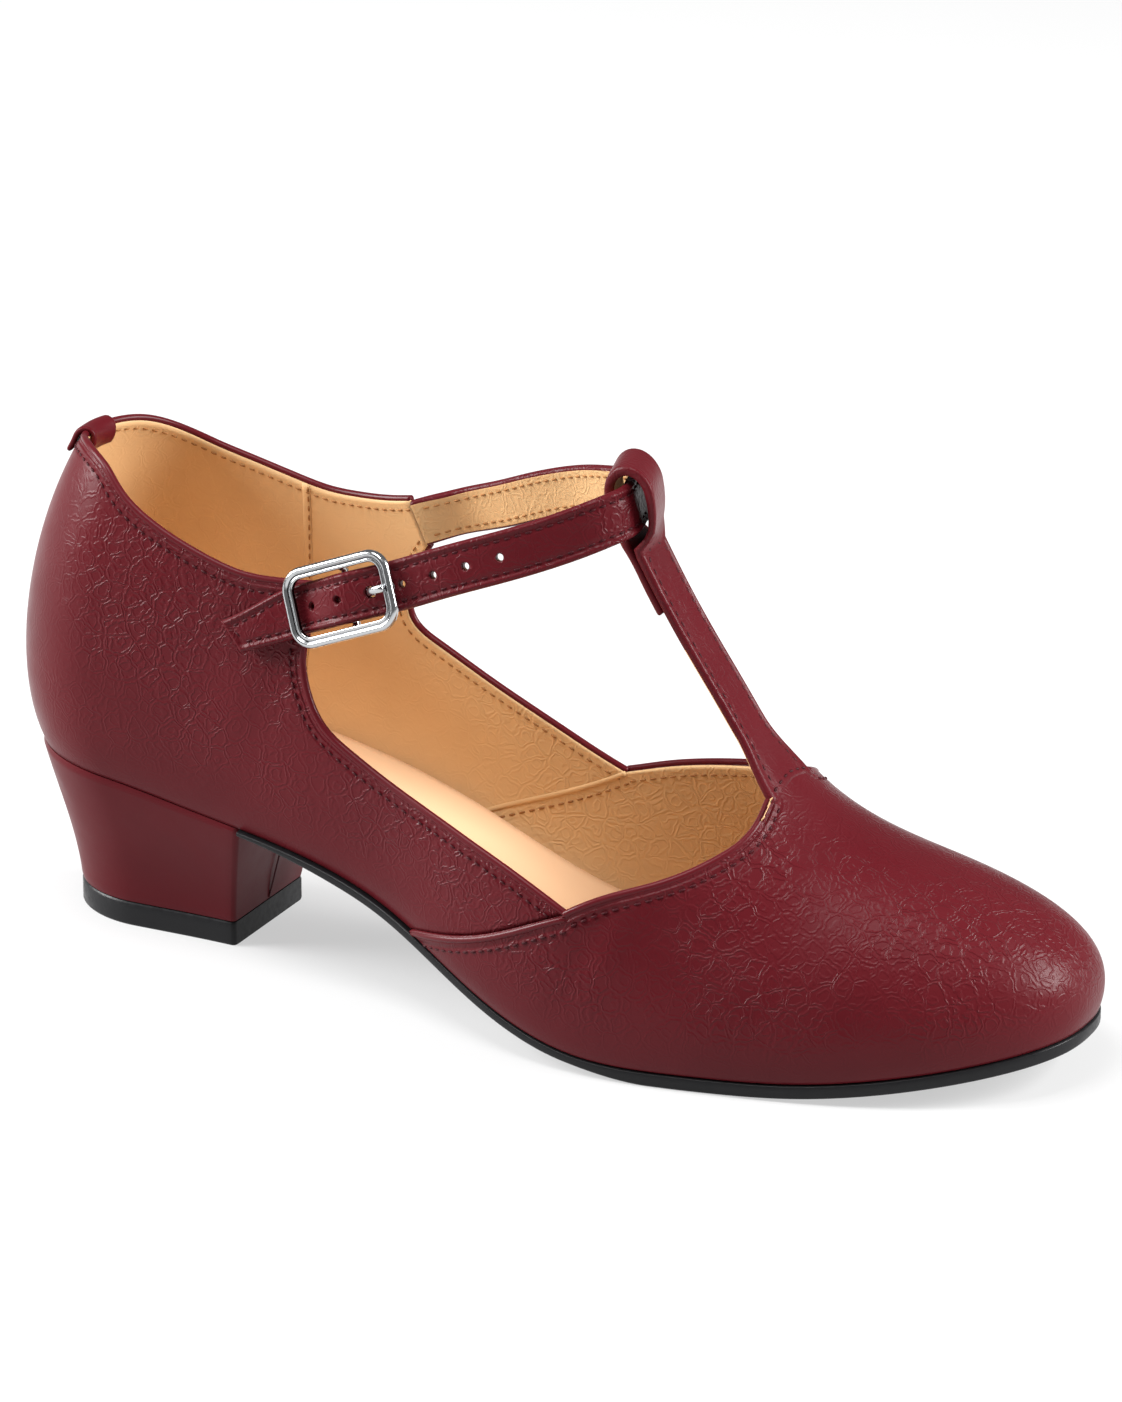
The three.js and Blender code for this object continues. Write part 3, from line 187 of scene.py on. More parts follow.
# Sections of the last. share: of the length. lateral, medial: of the ball width.
# heel: of the seat's height over the ball. spring: of the toe spring. bulgeL, bulgeM: of the side bulge.
# rise: of the side rise. shoulder: of the half width. spine: of the instep's rise.
LAST_COLUMNS = (
    "share", "lateral", "medial", "heel", "spring", "bulgeL", "bulgeM", "rise", "shoulder", "spine")
LAST_ROWS = (
    (0.0, 0.333, 0.346, 1.000, 0.00, 0.92, 0.92, 1.00, 0.90, 0.995),
    (0.1, 0.340, 0.353, 0.955, 0.00, 0.88, 0.83, 0.98, 0.92, 0.896),
    (0.2, 0.333, 0.346, 0.833, 0.00, 0.75, 0.79, 0.96, 0.90, 0.998),
    (0.3, 0.349, 0.314, 0.721, 0.00, 0.75, 0.92, 0.78, 0.80, 1.000),
    (0.4, 0.391, 0.282, 0.531, 0.00, 0.75, 1.00, 0.70, 0.72, 0.983),
    (0.5, 0.487, 0.295, 0.239, 0.00, 0.75, 1.00, 0.61, 0.70, 1.012),
    (0.6, 0.545, 0.372, 0.032, 0.00, 0.67, 0.83, 0.61, 0.68, 0.954),
    (0.7, 0.519, 0.453, 0.000, 0.00, 0.58, 0.67, 0.61, 0.68, 0.601),
    (0.8, 0.468, 0.474, 0.000, 0.09, 0.50, 0.50, 0.59, 0.68, 0.417),
    (0.9, 0.429, 0.462, 0.000, 0.47, 0.50, 0.50, 0.61, 0.70, 0.317),
    (1.0, 0.397, 0.436, 0.000, 1.00, 0.46, 0.46, 0.70, 0.73, 0.205),
)

# Edges of the upper, from heel to toe: name, foot of the last rib, sweep of that rib, ribs, and points
# as shares of the length and of the way from the feather line (0) up to the spine (1)
TONGUE_EDGE = ("tongue", 0.785, 1, 12, ((0.729, 0.865), (0.7275, 0.93), (0.727, 1)))
SPINE_EDGE = ("spine", 1, 1, 64, ((0.727, 1), (1, 1)))
UPPER_EDGES = {
    "lateral": (
        ("collar", 0.24, 2.6, 66, (
            (0, 0.665), (0.025, 0.672), (0.055, 0.662), (0.094, 0.628), (0.118, 0.588), (0.154, 0.54),
            (0.188, 0.51), (0.22, 0.495), (0.251, 0.494), (0.282, 0.508), (0.322, 0.535))),
        ("cutout", 0.43, 1.35, 68, (
            (0.322, 0.535), (0.316, 0.46), (0.313, 0.415), (0.318, 0.376), (0.334, 0.332), (0.362, 0.312),
            (0.4, 0.306), (0.468, 0.322), (0.535, 0.332), (0.598, 0.324))),
        ("vamp", 0.75, 1, 54, (
            (0.598, 0.324), (0.633, 0.393), (0.664, 0.461), (0.692, 0.546), (0.711, 0.627),
            (0.724, 0.704), (0.73, 0.79), (0.729, 0.865))),
        TONGUE_EDGE,
        SPINE_EDGE,
    ),
    "medial": (
        ("collar", 0.22, 2.6, 66, (
            (0, 0.665), (0.025, 0.65), (0.057, 0.619), (0.101, 0.573), (0.146, 0.54), (0.189, 0.517),
            (0.227, 0.512), (0.261, 0.527), (0.3, 0.558), (0.323, 0.582))),
        ("seam", 0.23, 2.6, 8, ((0.323, 0.582), (0.337, 0.515))),
        ("cutout", 0.384, 1.35, 60, (
            (0.337, 0.515), (0.318, 0.455), (0.307, 0.405), (0.308, 0.362), (0.336, 0.337),
            (0.399, 0.325), (0.461, 0.323), (0.522, 0.314))),
        ("vamp", 0.75, 1, 54, (
            (0.522, 0.314), (0.56, 0.357), (0.604, 0.406), (0.638, 0.458), (0.672, 0.535),
            (0.697, 0.615), (0.714, 0.7), (0.726, 0.79), (0.729, 0.865))),
        TONGUE_EDGE,
        SPINE_EDGE,
    ),
}
GIRTH_LENGTH = 0.1
UPPER_ROWS = 56
FAN_RIBS = 8
CURVE_SAMPLES = 400
RUN_STEP = 0.0002
SLOPE_STEP = 0.001

# Soft troughs (depth over 0) and ridges (under 0) of the leather: side, share of the length, girth,
# length along, width across and turn in degrees, all lying on the outer skin
CREASES = (
    ("lateral", 0.30, 0.40, 0.020, 0.0050, 62, 0.00035),
    ("lateral", 0.27, 0.36, 0.022, 0.0055, 58, -0.00025),
    ("lateral", 0.62, 0.30, 0.016, 0.0032, 70, 0.00030),
    ("lateral", 0.645, 0.34, 0.015, 0.0030, 72, -0.00020),
    ("lateral", 0.69, 0.42, 0.022, 0.0050, 35, 0.00025),
    ("lateral", 0.47, 0.20, 0.030, 0.0060, 12, 0.00030),
    ("medial", 0.30, 0.38, 0.020, 0.0055, 118, 0.00035),
    ("medial", 0.66, 0.36, 0.020, 0.0050, 120, 0.00030),
    ("medial", 0.48, 0.20, 0.032, 0.0060, 168, 0.00030),
)

# The T-strap's front face above the vamp, and the ankle strap's middle line from its medial seam round
# the front to the buckle: shares of the length, of the ball width and of the instep's rise
T_STRAP_PATH = ((0.7104, 0, 0.578), (0.68, 0, 0.678), (0.649, 0, 0.785), (0.622, 0, 0.881))
ANKLE_PATH = (
    (0.358, 0.295, 0.66), (0.407, 0.28, 0.744), (0.453, 0.247, 0.84), (0.5, 0.209, 0.931),
    (0.536, 0.156, 0.99), (0.562, 0.113, 1.026), (0.577, 0.064, 1.046), (0.582, 0, 1.053),
    (0.587, -0.064, 1.054), (0.579, -0.141, 1.041), (0.547, -0.218, 0.986), (0.5, -0.287, 0.9),
    (0.448, -0.328, 0.797),
)
LOOP_PLACE = (0.582, 0, 1.053)
BUCKLE_FRONT = (0.406, -0.344, 0.711)
BUCKLE_BACK = (0.312, -0.346, 0.551)

OUTWARD = {"lateral": -1, "medial": 1}
BULGE_COLUMN = {"lateral": "bulgeL", "medial": "bulgeM"}
UP = np.array((0.0, 0.0, 1.0))
ACROSS = np.array((0.0, 1.0, 0.0))
SHARP_EDGE = 35
FAR_FROM_EDGE = 0.02
ORIGIN = np.array((LIFT_BACK_INSET + LIFT_LENGTH / 2, 0.0, 0.0))


# Curves and vectors

def natural_spline(places, values):
    places = np.asarray(places, float)
    values = np.asarray(values, float)
    flat = values.ndim == 1
    if flat:
        values = values[:, None]
    count = len(places)
    steps = np.diff(places)
    matrix = np.eye(count)
    right = np.zeros_like(values)
    for i in range(1, count - 1):
        matrix[i, i - 1:i + 2] = steps[i - 1], 2 * (steps[i - 1] + steps[i]), steps[i]
        right[i] = 6 * ((values[i + 1] - values[i]) / steps[i] - (values[i] - values[i - 1]) / steps[i - 1])
    bends = np.linalg.solve(matrix, right)

    def at(place):
        place = np.asarray(place, float)
        i = np.clip(np.searchsorted(places, place) - 1, 0, count - 2)
        step = steps[i][..., None]
        a = (places[i + 1] - place)[..., None] / step
        b = 1 - a
        bend = ((a ** 3 - a) * bends[i] + (b ** 3 - b) * bends[i + 1]) * step ** 2 / 6
        result = a * values[i] + b * values[i + 1] + bend
        return result[..., 0] if flat else result

    return at


def unit(vectors):
    return vectors / np.maximum(np.linalg.norm(vectors, axis=-1, keepdims=True), 1e-12)


def smooth(value):
    t = np.clip(value, 0, 1)
    return t * t * (3 - 2 * t)


def lengths_along(points):
    return np.concatenate(([0], np.cumsum(np.linalg.norm(np.diff(points, axis=0), axis=1))))


def through_points(points):
    """A smooth curve through points, as a function of its length, and its whole length."""
    points = np.asarray(points, float)
    first = natural_spline(lengths_along(points), points)
    dense = first(np.linspace(0, lengths_along(points)[-1], CURVE_SAMPLES))
    reach = lengths_along(dense)
    return natural_spline(reach, dense), reach[-1]


def run_along(curve, places, step=RUN_STEP):
    """Directions along a curve at places on it."""
    return unit(curve(places + step) - curve(places - step))


def slope_of(height_at, x):
    return (height_at(x + SLOPE_STEP) - height_at(x - SLOPE_STEP)) / (2 * SLOPE_STEP)


# The last

LAST = {
    name: natural_spline([row[0] for row in LAST_ROWS], [row[i] for row in LAST_ROWS])
    for i, name in enumerate(LAST_COLUMNS) if i
}


def last_value(name, x):
    return LAST[name](np.clip(x / SHOE_LENGTH, 0, 1))


def feather_height(x):
    seat = (HEEL_SEAT_HEIGHT - BALL_HEIGHT) * last_value("heel", x)
    return BALL_HEIGHT + seat + TOE_SPRING * last_value("spring", x)


def spine_height(x):
    return feather_height(x) + INSTEP_RISE * last_value("spine", x)


def middle_line(x):
    swing = np.clip((x / SHOE_LENGTH - TOE_SWING_START) / (1 - TOE_SWING_START), 0, 1)
    return TOE_SWING * swing * swing


def end_rounding(x):
    heel = np.clip(1 - x / HEEL_ROUND_LENGTH, 0, 1)
    toe = np.clip((x - SHOE_LENGTH + TOE_ROUND_LENGTH) / TOE_ROUND_LENGTH, 0, 1)
    return np.sqrt(1 - heel * heel) * (1 - toe ** TOE_ROUND_POWER) ** (1 / TOE_ROUND_POWER)


def feather_line(side, x):
    return middle_line(x) + OUTWARD[side] * BALL_WIDTH * last_value(side, x) * end_rounding(x)


def place_along(turn):
    return SHOE_LENGTH * (1 - np.cos(np.pi * turn)) / 2


def feather_plan(side, turn):
    return np.stack([place_along(turn), feather_line(side, place_along(turn))], axis=-1)


def turn_at(x):
    return np.arccos(1 - 2 * x / SHOE_LENGTH) / np.pi


def spine_place(x):
    front = SHOE_LENGTH - SPINE_TOE_INSET
    held = SPINE_BACK_INSET + SPINE_SOFTNESS * np.log1p(np.exp((x - SPINE_BACK_INSET) / SPINE_SOFTNESS))
    return front - SPINE_SOFTNESS * np.log1p(np.exp((front - held) / SPINE_SOFTNESS))


def last_point(side, x, girth):
    """Points of the last's skin; girth runs from 0 at the feather line to 1 at the spine."""
    x, girth = np.broadcast_arrays(np.asarray(x, float), np.asarray(girth, float))
    spine_x = spine_place(x)
    away = np.stack([x - spine_x, feather_line(side, x) - middle_line(spine_x)], axis=-1)
    foot = np.linalg.norm(away, axis=-1)
    toward = away / foot[..., None]
    slope = slope_of(spine_height, spine_x)
    bulge = SIDE_BULGE * last_value(BULGE_COLUMN[side], x)
    shoulder = foot * last_value("shoulder", x)
    low = feather_height(x)
    top = spine_height(spine_x)
    radii = (foot, foot + bulge, shoulder, 0)
    heights = (low, low + SIDE_RISE * last_value("rise", x), top + slope * toward[..., 0] * shoulder, top)
    rest = 1 - girth
    weights = (rest ** 3, 3 * girth * rest ** 2, 3 * girth ** 2 * rest, girth ** 3)
    radius = sum(weight * value for weight, value in zip(weights, radii))
    height = sum(weight * value for weight, value in zip(weights, heights))
    across = middle_line(spine_x) + toward[..., 1] * radius
    return np.stack([spine_x + toward[..., 0] * radius, across, height], axis=-1)


def last_frame(side, x, girth):
    """Normals of the last's skin, and its directions up the rib and along the shoe."""
    along = 0.0002
    around = 0.004
    x = np.clip(x, 2 * along, SHOE_LENGTH - 2 * along)
    ahead = last_point(side, x + along, girth) - last_point(side, x - along, girth)
    upward = last_point(side, x, girth + around) - last_point(side, x, girth - around)
    normal = unit(np.cross(ahead, upward)) * -OUTWARD[side]
    return normal, upward / (2 * around), ahead / (2 * along)


def equal_steps(point_at, first, last, steps):
    turns = np.linspace(first, last, CURVE_SAMPLES + 1)
    reach = lengths_along(point_at(turns))
    return np.interp(np.linspace(0, reach[-1], steps + 1), reach, turns)


def edge_curve(side, points, steps):
    """Shares and girths along a smooth edge of the upper, at equal steps of its real length."""
    points = np.asarray(points, float)
    reach = lengths_along(points * (SHOE_LENGTH, GIRTH_LENGTH))
    curve = natural_spline(reach, points)
    at = lambda turn: curve(reach[-1] * turn * turn)
    point_at = lambda turn: last_point(side, SHOE_LENGTH * at(turn)[..., 0], at(turn)[..., 1])
    return at(equal_steps(point_at, 0, 1, steps))


def edge_named(side, name):
    return next(edge for edge in UPPER_EDGES[side] if edge[0] == name)


def plan_point(side, turn, inset):
    """Points of the feather line's plan, moved inwards at right angles by an inset."""
    nudge = 1e-4
    before = np.clip(turn - nudge, 0, 1)
    after = np.clip(turn + nudge, 0, 1)
    point = feather_plan(side, turn)
    run = unit(feather_plan(side, after) - feather_plan(side, before))
    run = np.where((turn <= nudge)[..., None], (0, OUTWARD[side]), run)
    run = np.where((turn >= 1 - nudge)[..., None], (0, -OUTWARD[side]), run)
    inward = np.stack([run[..., 1], -run[..., 0]], axis=-1) * OUTWARD[side]
    return point + inward * inset


# Meshes

def add_object(name, points, faces, materials, face_slots=None, attributes=None, sharp=None):
    """A mesh object in the row's frame, from points in the last's frame."""
    mesh = bpy.data.meshes.new(name)
    mesh.from_pydata((np.asarray(points) - ORIGIN).tolist(), [], faces)
    for material in materials:
        mesh.materials.append(material)
    if face_slots is not None:
        mesh.polygons.foreach_set("material_index", np.asarray(face_slots, dtype=np.int32))
    for key, values in (attributes or {}).items():
        layer = mesh.attributes.new(key, "FLOAT", "POINT")
        layer.data.foreach_set("value", np.asarray(values, dtype=np.float32))
    shape = bmesh.new()
    shape.from_mesh(mesh)
    bmesh.ops.remove_doubles(shape, verts=shape.verts, dist=1e-6)
    bmesh.ops.recalc_face_normals(shape, faces=shape.faces)
    shape.to_mesh(mesh)
    shape.free()
    mesh.shade_smooth()
    if sharp is not None:
        mesh.set_sharp_from_angle(angle=math.radians(sharp))
    thing = bpy.data.objects.new(name, mesh)
    bpy.context.scene.collection.objects.link(thing)
    return thing


def dress(piece, slot, *nodes):
    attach(piece, "root")
    if nodes:
        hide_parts(*nodes)
    return piece


def tidy_faces(faces):
    """Faces as lists, without corners that come twice."""
    kept = []
    for face in faces:
        corners = list(dict.fromkeys(int(corner) for corner in face))
        if len(corners) > 2:
            kept.append(corners)
    return kept


def grid_faces(index):
    return np.stack([index[:-1, :-1], index[1:, :-1], index[1:, 1:], index[:-1, 1:]], axis=-1).reshape(-1, 4)


def border_of(faces, count):
    """The directed edges of quads that no other quad shares."""
    starts = faces.reshape(-1)
    ends = np.roll(faces, -1, axis=1).reshape(-1)
    real = starts != ends
    starts = starts[real]
    ends = ends[real]
    open_edge = ~np.isin(starts * count + ends, ends * count + starts)
    return np.stack([starts[open_edge], ends[open_edge]], axis=-1)


def shell(name, front, back, faces, materials, back_slot=0, attributes=None):
    """A closed solid between two sheets with the same faces."""
    count = len(front)
    border = border_of(faces, count)
    rim = np.stack([border[:, 1], border[:, 0], border[:, 0] + count, border[:, 1] + count], axis=-1)
    every = np.concatenate([faces, faces[:, ::-1] + count, rim])
    slots = np.concatenate([np.zeros(len(faces)), np.full(len(faces), back_slot), np.zeros(len(rim))])
    used = np.unique(every)
    renumber = np.full(2 * count, -1)
    renumber[used] = np.arange(len(used))
    every = renumber[every]
    twice = {key: np.tile(values, 2)[used] for key, values in (attributes or {}).items()}
    good = [len(set(face)) > 2 for face in every.tolist()]
    faces_left = tidy_faces(every[np.array(good)])
    points = np.concatenate([front, back])[used]
    return add_object(name, points, faces_left, materials, slots[np.array(good)], twice)


def sweep(rings, closed=False):
    """Points and faces of a skin over rings of points, with flat ends where it isn't closed."""
    count, sides = rings.shape[:2]
    index = np.arange(count * sides).reshape(count, sides)
    wrapped = np.concatenate([index, index[:, :1]], axis=1)
    if closed:
        wrapped = np.concatenate([wrapped, wrapped[:1]])
    faces = grid_faces(wrapped).tolist()
    if not closed:
        faces += [index[0].tolist()[::-1], index[-1].tolist()]
    return rings.reshape(-1, 3), faces


def turn_angles(count):
    return np.arange(count) * 2 * np.pi / count


def tube_rings(points, normals, radius_out, radius_side, sides=10):
    """Oval rings round a path: one radius along the normals, one across them."""
    run = unit(np.gradient(points, axis=0))
    side = unit(np.cross(run, normals))
    out = np.cross(side, run)
    angle = turn_angles(sides)
    radius_out = np.broadcast_to(radius_out, len(points))
    radius_side = np.broadcast_to(radius_side, len(points))
    return (points[:, None]
            + out[:, None] * (np.sin(angle)[None, :, None] * radius_out[:, None, None])
            + side[:, None] * (np.cos(angle)[None, :, None] * radius_side[:, None, None]))


def join_parts(parts):
    """One list of points and faces from several."""
    points = []
    faces = []
    start = 0
    for part_points, part_faces in parts:
        points.append(part_points)
        faces += [[corner + start for corner in face] for face in part_faces]
        start += len(part_points)
    return np.concatenate(points), faces


def dress_parts(name, parts, material, slot):
    points, faces = join_parts(parts)
    dress(add_object(name, points, faces, [material]), slot)


def stitch_parts(points, normals, pitch=STITCH_PITCH, length=STITCH_LENGTH, radius=STITCH_RADIUS):
    """Short sunk stitches along a path that lies on the leather."""
    reach = lengths_along(points)
    count = max(1, int(reach[-1] / pitch))
    middles = (np.arange(count) + 0.5) * reach[-1] / count
    parts = []
    profile = np.array((-1.0, -0.8, 0.0, 0.8, 1.0))
    swell = np.array((0.25, 0.8, 1.0, 0.8, 0.25))
    for middle in middles:
        places = middle + profile * length / 2
        centre = np.stack([np.interp(places, reach, points[:, k]) for k in range(3)], axis=-1)
        out = unit(np.stack([np.interp(places, reach, normals[:, k]) for k in range(3)], axis=-1))
        centre = centre + out * radius * (0.35 - 0.9 * profile ** 4)[:, None]
        parts.append(sweep(tube_rings(centre, out, radius * swell, radius * 1.15 * swell, 6)))
    return parts


# Materials

def add_node(tree, kind, **settings):
    node = tree.nodes.new(kind)
    for key, value in settings.items():
        setattr(node, key, value)
    return node


def math_node(tree, operation, first, second=None):
    node = add_node(tree, "ShaderNodeMath", operation=operation)
    for socket, value in zip(node.inputs, (first, second)):
        if value is None:
            continue
        if isinstance(value, (int, float)):
            socket.default_value = value
        else:
            tree.links.new(value, socket)
    return node.outputs[0]


def noise_node(tree, vector, scale, detail=3.0, roughness=0.5):
    node = add_node(tree, "ShaderNodeTexNoise")
    node.inputs["Scale"].default_value = scale
    node.inputs["Detail"].default_value = detail
    node.inputs["Roughness"].default_value = roughness
    tree.links.new(vector, node.inputs["Vector"])
    return node


def map_range(tree, value, low, high, to_low, to_high):
    node = add_node(tree, "ShaderNodeMapRange", interpolation_type="SMOOTHSTEP")
    tree.links.new(value, node.inputs["Value"])
    for key, number in (("From Min", low), ("From Max", high), ("To Min", to_low), ("To Max", to_high)):
        node.inputs[key].default_value = number
    return node.outputs["Result"]


def ridge(tree, value, middle, width):
    """1 where the value is at the middle, falling to 0 within the width."""
    away = math_node(tree, "ABSOLUTE", math_node(tree, "SUBTRACT", value, middle))
    return map_range(tree, away, 0.0, width, 1.0, 0.0)


def add_bump(tree, shader, height, strength, distance):
    bump = add_node(tree, "ShaderNodeBump")
    bump.inputs["Strength"].default_value = strength
    bump.inputs["Distance"].default_value = distance
    tree.links.new(height, bump.inputs["Height"])
    tree.links.new(bump.outputs["Normal"], shader.inputs["Normal"])


def new_material(name, color, roughness, metallic=0.0, specular=0.5):
    material = bpy.data.materials.new(name)
    material.use_nodes = True
    tree = material.node_tree
    shader = tree.nodes["Principled BSDF"]
    shader.inputs["Base Color"].default_value = (*color, 1)
    shader.inputs["Roughness"].default_value = roughness
    shader.inputs["Metallic"].default_value = metallic
    shader.inputs["Specular IOR Level"].default_value = specular
    return material, tree, shader


# Cells of the embossed ring grain, per metre, how far they are bent out of shape, and the distances of
# the two ridges from a cell's border, their widths and their heights
GRAIN_SCALE = 230.0
GRAIN_WARP = 0.0016
GRAIN_WARP_SCALE = 300.0
GRAIN_HEIGHT = 0.12
GRAIN_LINES = (("DISTANCE_TO_EDGE", 0.1, 0.085, 1.0), ("F1", 0.3, 0.09, 0.75))
GRAIN_RANDOMNESS = 0.85
GRAIN_PATCHES = 42.0
MICRO_HEIGHT = 0.012
MICRO_SCALE = 1500.0
WAVE_HEIGHT = 0.05
WAVE_SCALE = 90.0
TONE_SCALE = 26.0
TONE_SHARE = 0.55
BUMP_HEIGHT = 0.001
SCRATCH_SCALE = 900.0
SCRATCH_DEPTH = 0.00003
SOLE_TEXTURE_SCALE = 700.0
SOLE_TEXTURE_DEPTH = 0.00006
# Ridges and grooves beside a stitched edge: places from the edge, widths and heights
EDGE_BEADS = ((0.0011, 0.0005, -0.14), (0.0016, 0.0006, 0.10), (0.0027, 0.0008, -0.16))


def leather(name, color, dark, roughness, grain, micro=MICRO_HEIGHT, stitched=False, specular=0.16):
    """Leather with an embossed ring grain, a fine grain and, where it is stitched, a grooved edge."""
    material, tree, shader = new_material(name, color, roughness, specular=specular)
    place = add_node(tree, "ShaderNodeTexCoord").outputs["Object"]
    warp = noise_node(tree, place, GRAIN_WARP_SCALE, 2.0)
    moved = add_node(tree, "ShaderNodeVectorMath", operation="SUBTRACT")
    tree.links.new(warp.outputs["Color"], moved.inputs[0])
    moved.inputs[1].default_value = (0.5, 0.5, 0.5)
    scaled = add_node(tree, "ShaderNodeVectorMath", operation="SCALE")
    tree.links.new(moved.outputs[0], scaled.inputs[0])
    scaled.inputs["Scale"].default_value = GRAIN_WARP * 2
    bent = add_node(tree, "ShaderNodeVectorMath", operation="ADD")
    tree.links.new(place, bent.inputs[0])
    tree.links.new(scaled.outputs[0], bent.inputs[1])

    lines = 0.0
    for feature, middle, width, tall in GRAIN_LINES:
        cells = add_node(tree, "ShaderNodeTexVoronoi", feature=feature)
        cells.inputs["Scale"].default_value = GRAIN_SCALE
        cells.inputs["Randomness"].default_value = GRAIN_RANDOMNESS
        tree.links.new(bent.outputs[0], cells.inputs["Vector"])
        line = math_node(tree, "MULTIPLY", ridge(tree, cells.outputs["Distance"], middle, width), tall)
        lines = math_node(tree, "MAXIMUM", line, lines)
    patches = noise_node(tree, place, GRAIN_PATCHES, 2.0)
    shown = map_range(tree, patches.outputs["Fac"], 0.36, 0.58, 0.45, 1.0)
    amount = add_node(tree, "ShaderNodeAttribute", attribute_name="grain").outputs["Fac"]
    emboss = math_node(tree, "MULTIPLY", math_node(tree, "MULTIPLY", lines, shown), amount)

    fine = noise_node(tree, place, MICRO_SCALE, 4.0, 0.6)
    height = math_node(tree, "MULTIPLY", emboss, GRAIN_HEIGHT * grain)
    height = math_node(tree, "ADD", height, math_node(tree, "MULTIPLY", fine.outputs["Fac"], micro))
    wide = noise_node(tree, place, WAVE_SCALE)
    height = math_node(tree, "ADD", height, math_node(tree, "MULTIPLY", wide.outputs["Fac"], WAVE_HEIGHT))
    if stitched:
        edge = add_node(tree, "ShaderNodeAttribute", attribute_name="edge").outputs["Fac"]
        for middle, width, tall in EDGE_BEADS:
            bead = math_node(tree, "MULTIPLY", ridge(tree, edge, middle, width), tall)
            height = math_node(tree, "ADD", height, bead)
    add_bump(tree, shader, height, 1.0, BUMP_HEIGHT)

    tone = noise_node(tree, place, TONE_SCALE, 4.0, 0.55)
    mix = add_node(tree, "ShaderNodeMix", data_type="RGBA")
    worn = map_range(tree, tone.outputs["Fac"], 0.3, 0.7, 0.0, TONE_SHARE)
    tree.links.new(worn, mix.inputs[0])
    mix.inputs[6].default_value = (*color, 1)
    mix.inputs[7].default_value = (*dark, 1)
    tree.links.new(mix.outputs[2], shader.inputs["Base Color"])
    rough = map_range(tree, wide.outputs["Fac"], 0.3, 0.7, roughness - 0.04, roughness + 0.05)
    tree.links.new(rough, shader.inputs["Roughness"])
    return material


def polished_metal(name, color):
    material, tree, shader = new_material(name, color, 0.17, metallic=1.0)
    place = add_node(tree, "ShaderNodeTexCoord").outputs["Object"]
    scratches = noise_node(tree, place, SCRATCH_SCALE, 5.0, 0.7)
    add_bump(tree, shader, scratches.outputs["Fac"], 0.35, SCRATCH_DEPTH)
    rough = map_range(tree, scratches.outputs["Fac"], 0.3, 0.7, 0.12, 0.26)
    tree.links.new(rough, shader.inputs["Roughness"])
    return material


def sole_black():
    material, tree, shader = new_material("sole_black", (0.009, 0.009, 0.010), 0.4, specular=0.2)
    place = add_node(tree, "ShaderNodeTexCoord").outputs["Object"]
    fine = noise_node(tree, place, SOLE_TEXTURE_SCALE, 4.0, 0.6)
    add_bump(tree, shader, fine.outputs["Fac"], 0.5, SOLE_TEXTURE_DEPTH)
    rough = map_range(tree, fine.outputs["Fac"], 0.3, 0.7, 0.28, 0.45)
    tree.links.new(rough, shader.inputs["Roughness"])
    return material


BURGUNDY = (0.092, 0.0068, 0.0105)
BURGUNDY_DARK = (0.066, 0.0045, 0.0075)
TAN = (0.68, 0.44, 0.22)
TAN_DARK = (0.60, 0.37, 0.175)
PEACH = (0.80, 0.525, 0.315)

grained = leather("grained_leather", BURGUNDY, BURGUNDY_DARK, 0.35, 1.0, stitched=True, specular=0.13)
plain = leather("plain_leather", BURGUNDY, BURGUNDY_DARK, 0.36, 0.0, specular=0.09)
piping = leather("piping_leather", BURGUNDY, BURGUNDY_DARK, 0.30, 0.0, micro=0.006)
lining = leather("lining_leather", TAN, TAN_DARK, 0.52, 0.7)
insole_cover = leather("insole_leather", PEACH, (0.77, 0.495, 0.295), 0.85, 0.0, micro=0.01, specular=0.03)
cream = leather("lining_edge", (0.84, 0.60, 0.38), (0.76, 0.50, 0.28), 0.5, 0.0)
# Partly the thread's own dark burgundy, partly painted shade of the sunk stitch slits; on the heel's breast
# it is the painted shade of the seam's groove
thread_and_painted_shade = leather("dark_thread_and_painted_shade", (0.05, 0.004, 0.007), (0.035, 0.003, 0.005), 0.5, 0.0, micro=0.03)
tan_thread = leather("tan_thread", (0.36, 0.17, 0.06), (0.28, 0.12, 0.045), 0.7, 0.0, micro=0.05)
metal = polished_metal("steel", (0.50, 0.51, 0.52))
# A near-black copy of the polished steel: painted shade on the frame's inner wall and a painted dark
# reflection along its top groove
painted_shade_steel = polished_metal("steel_in_shade", (0.045, 0.045, 0.048))
black = sole_black()


# The upper's skins

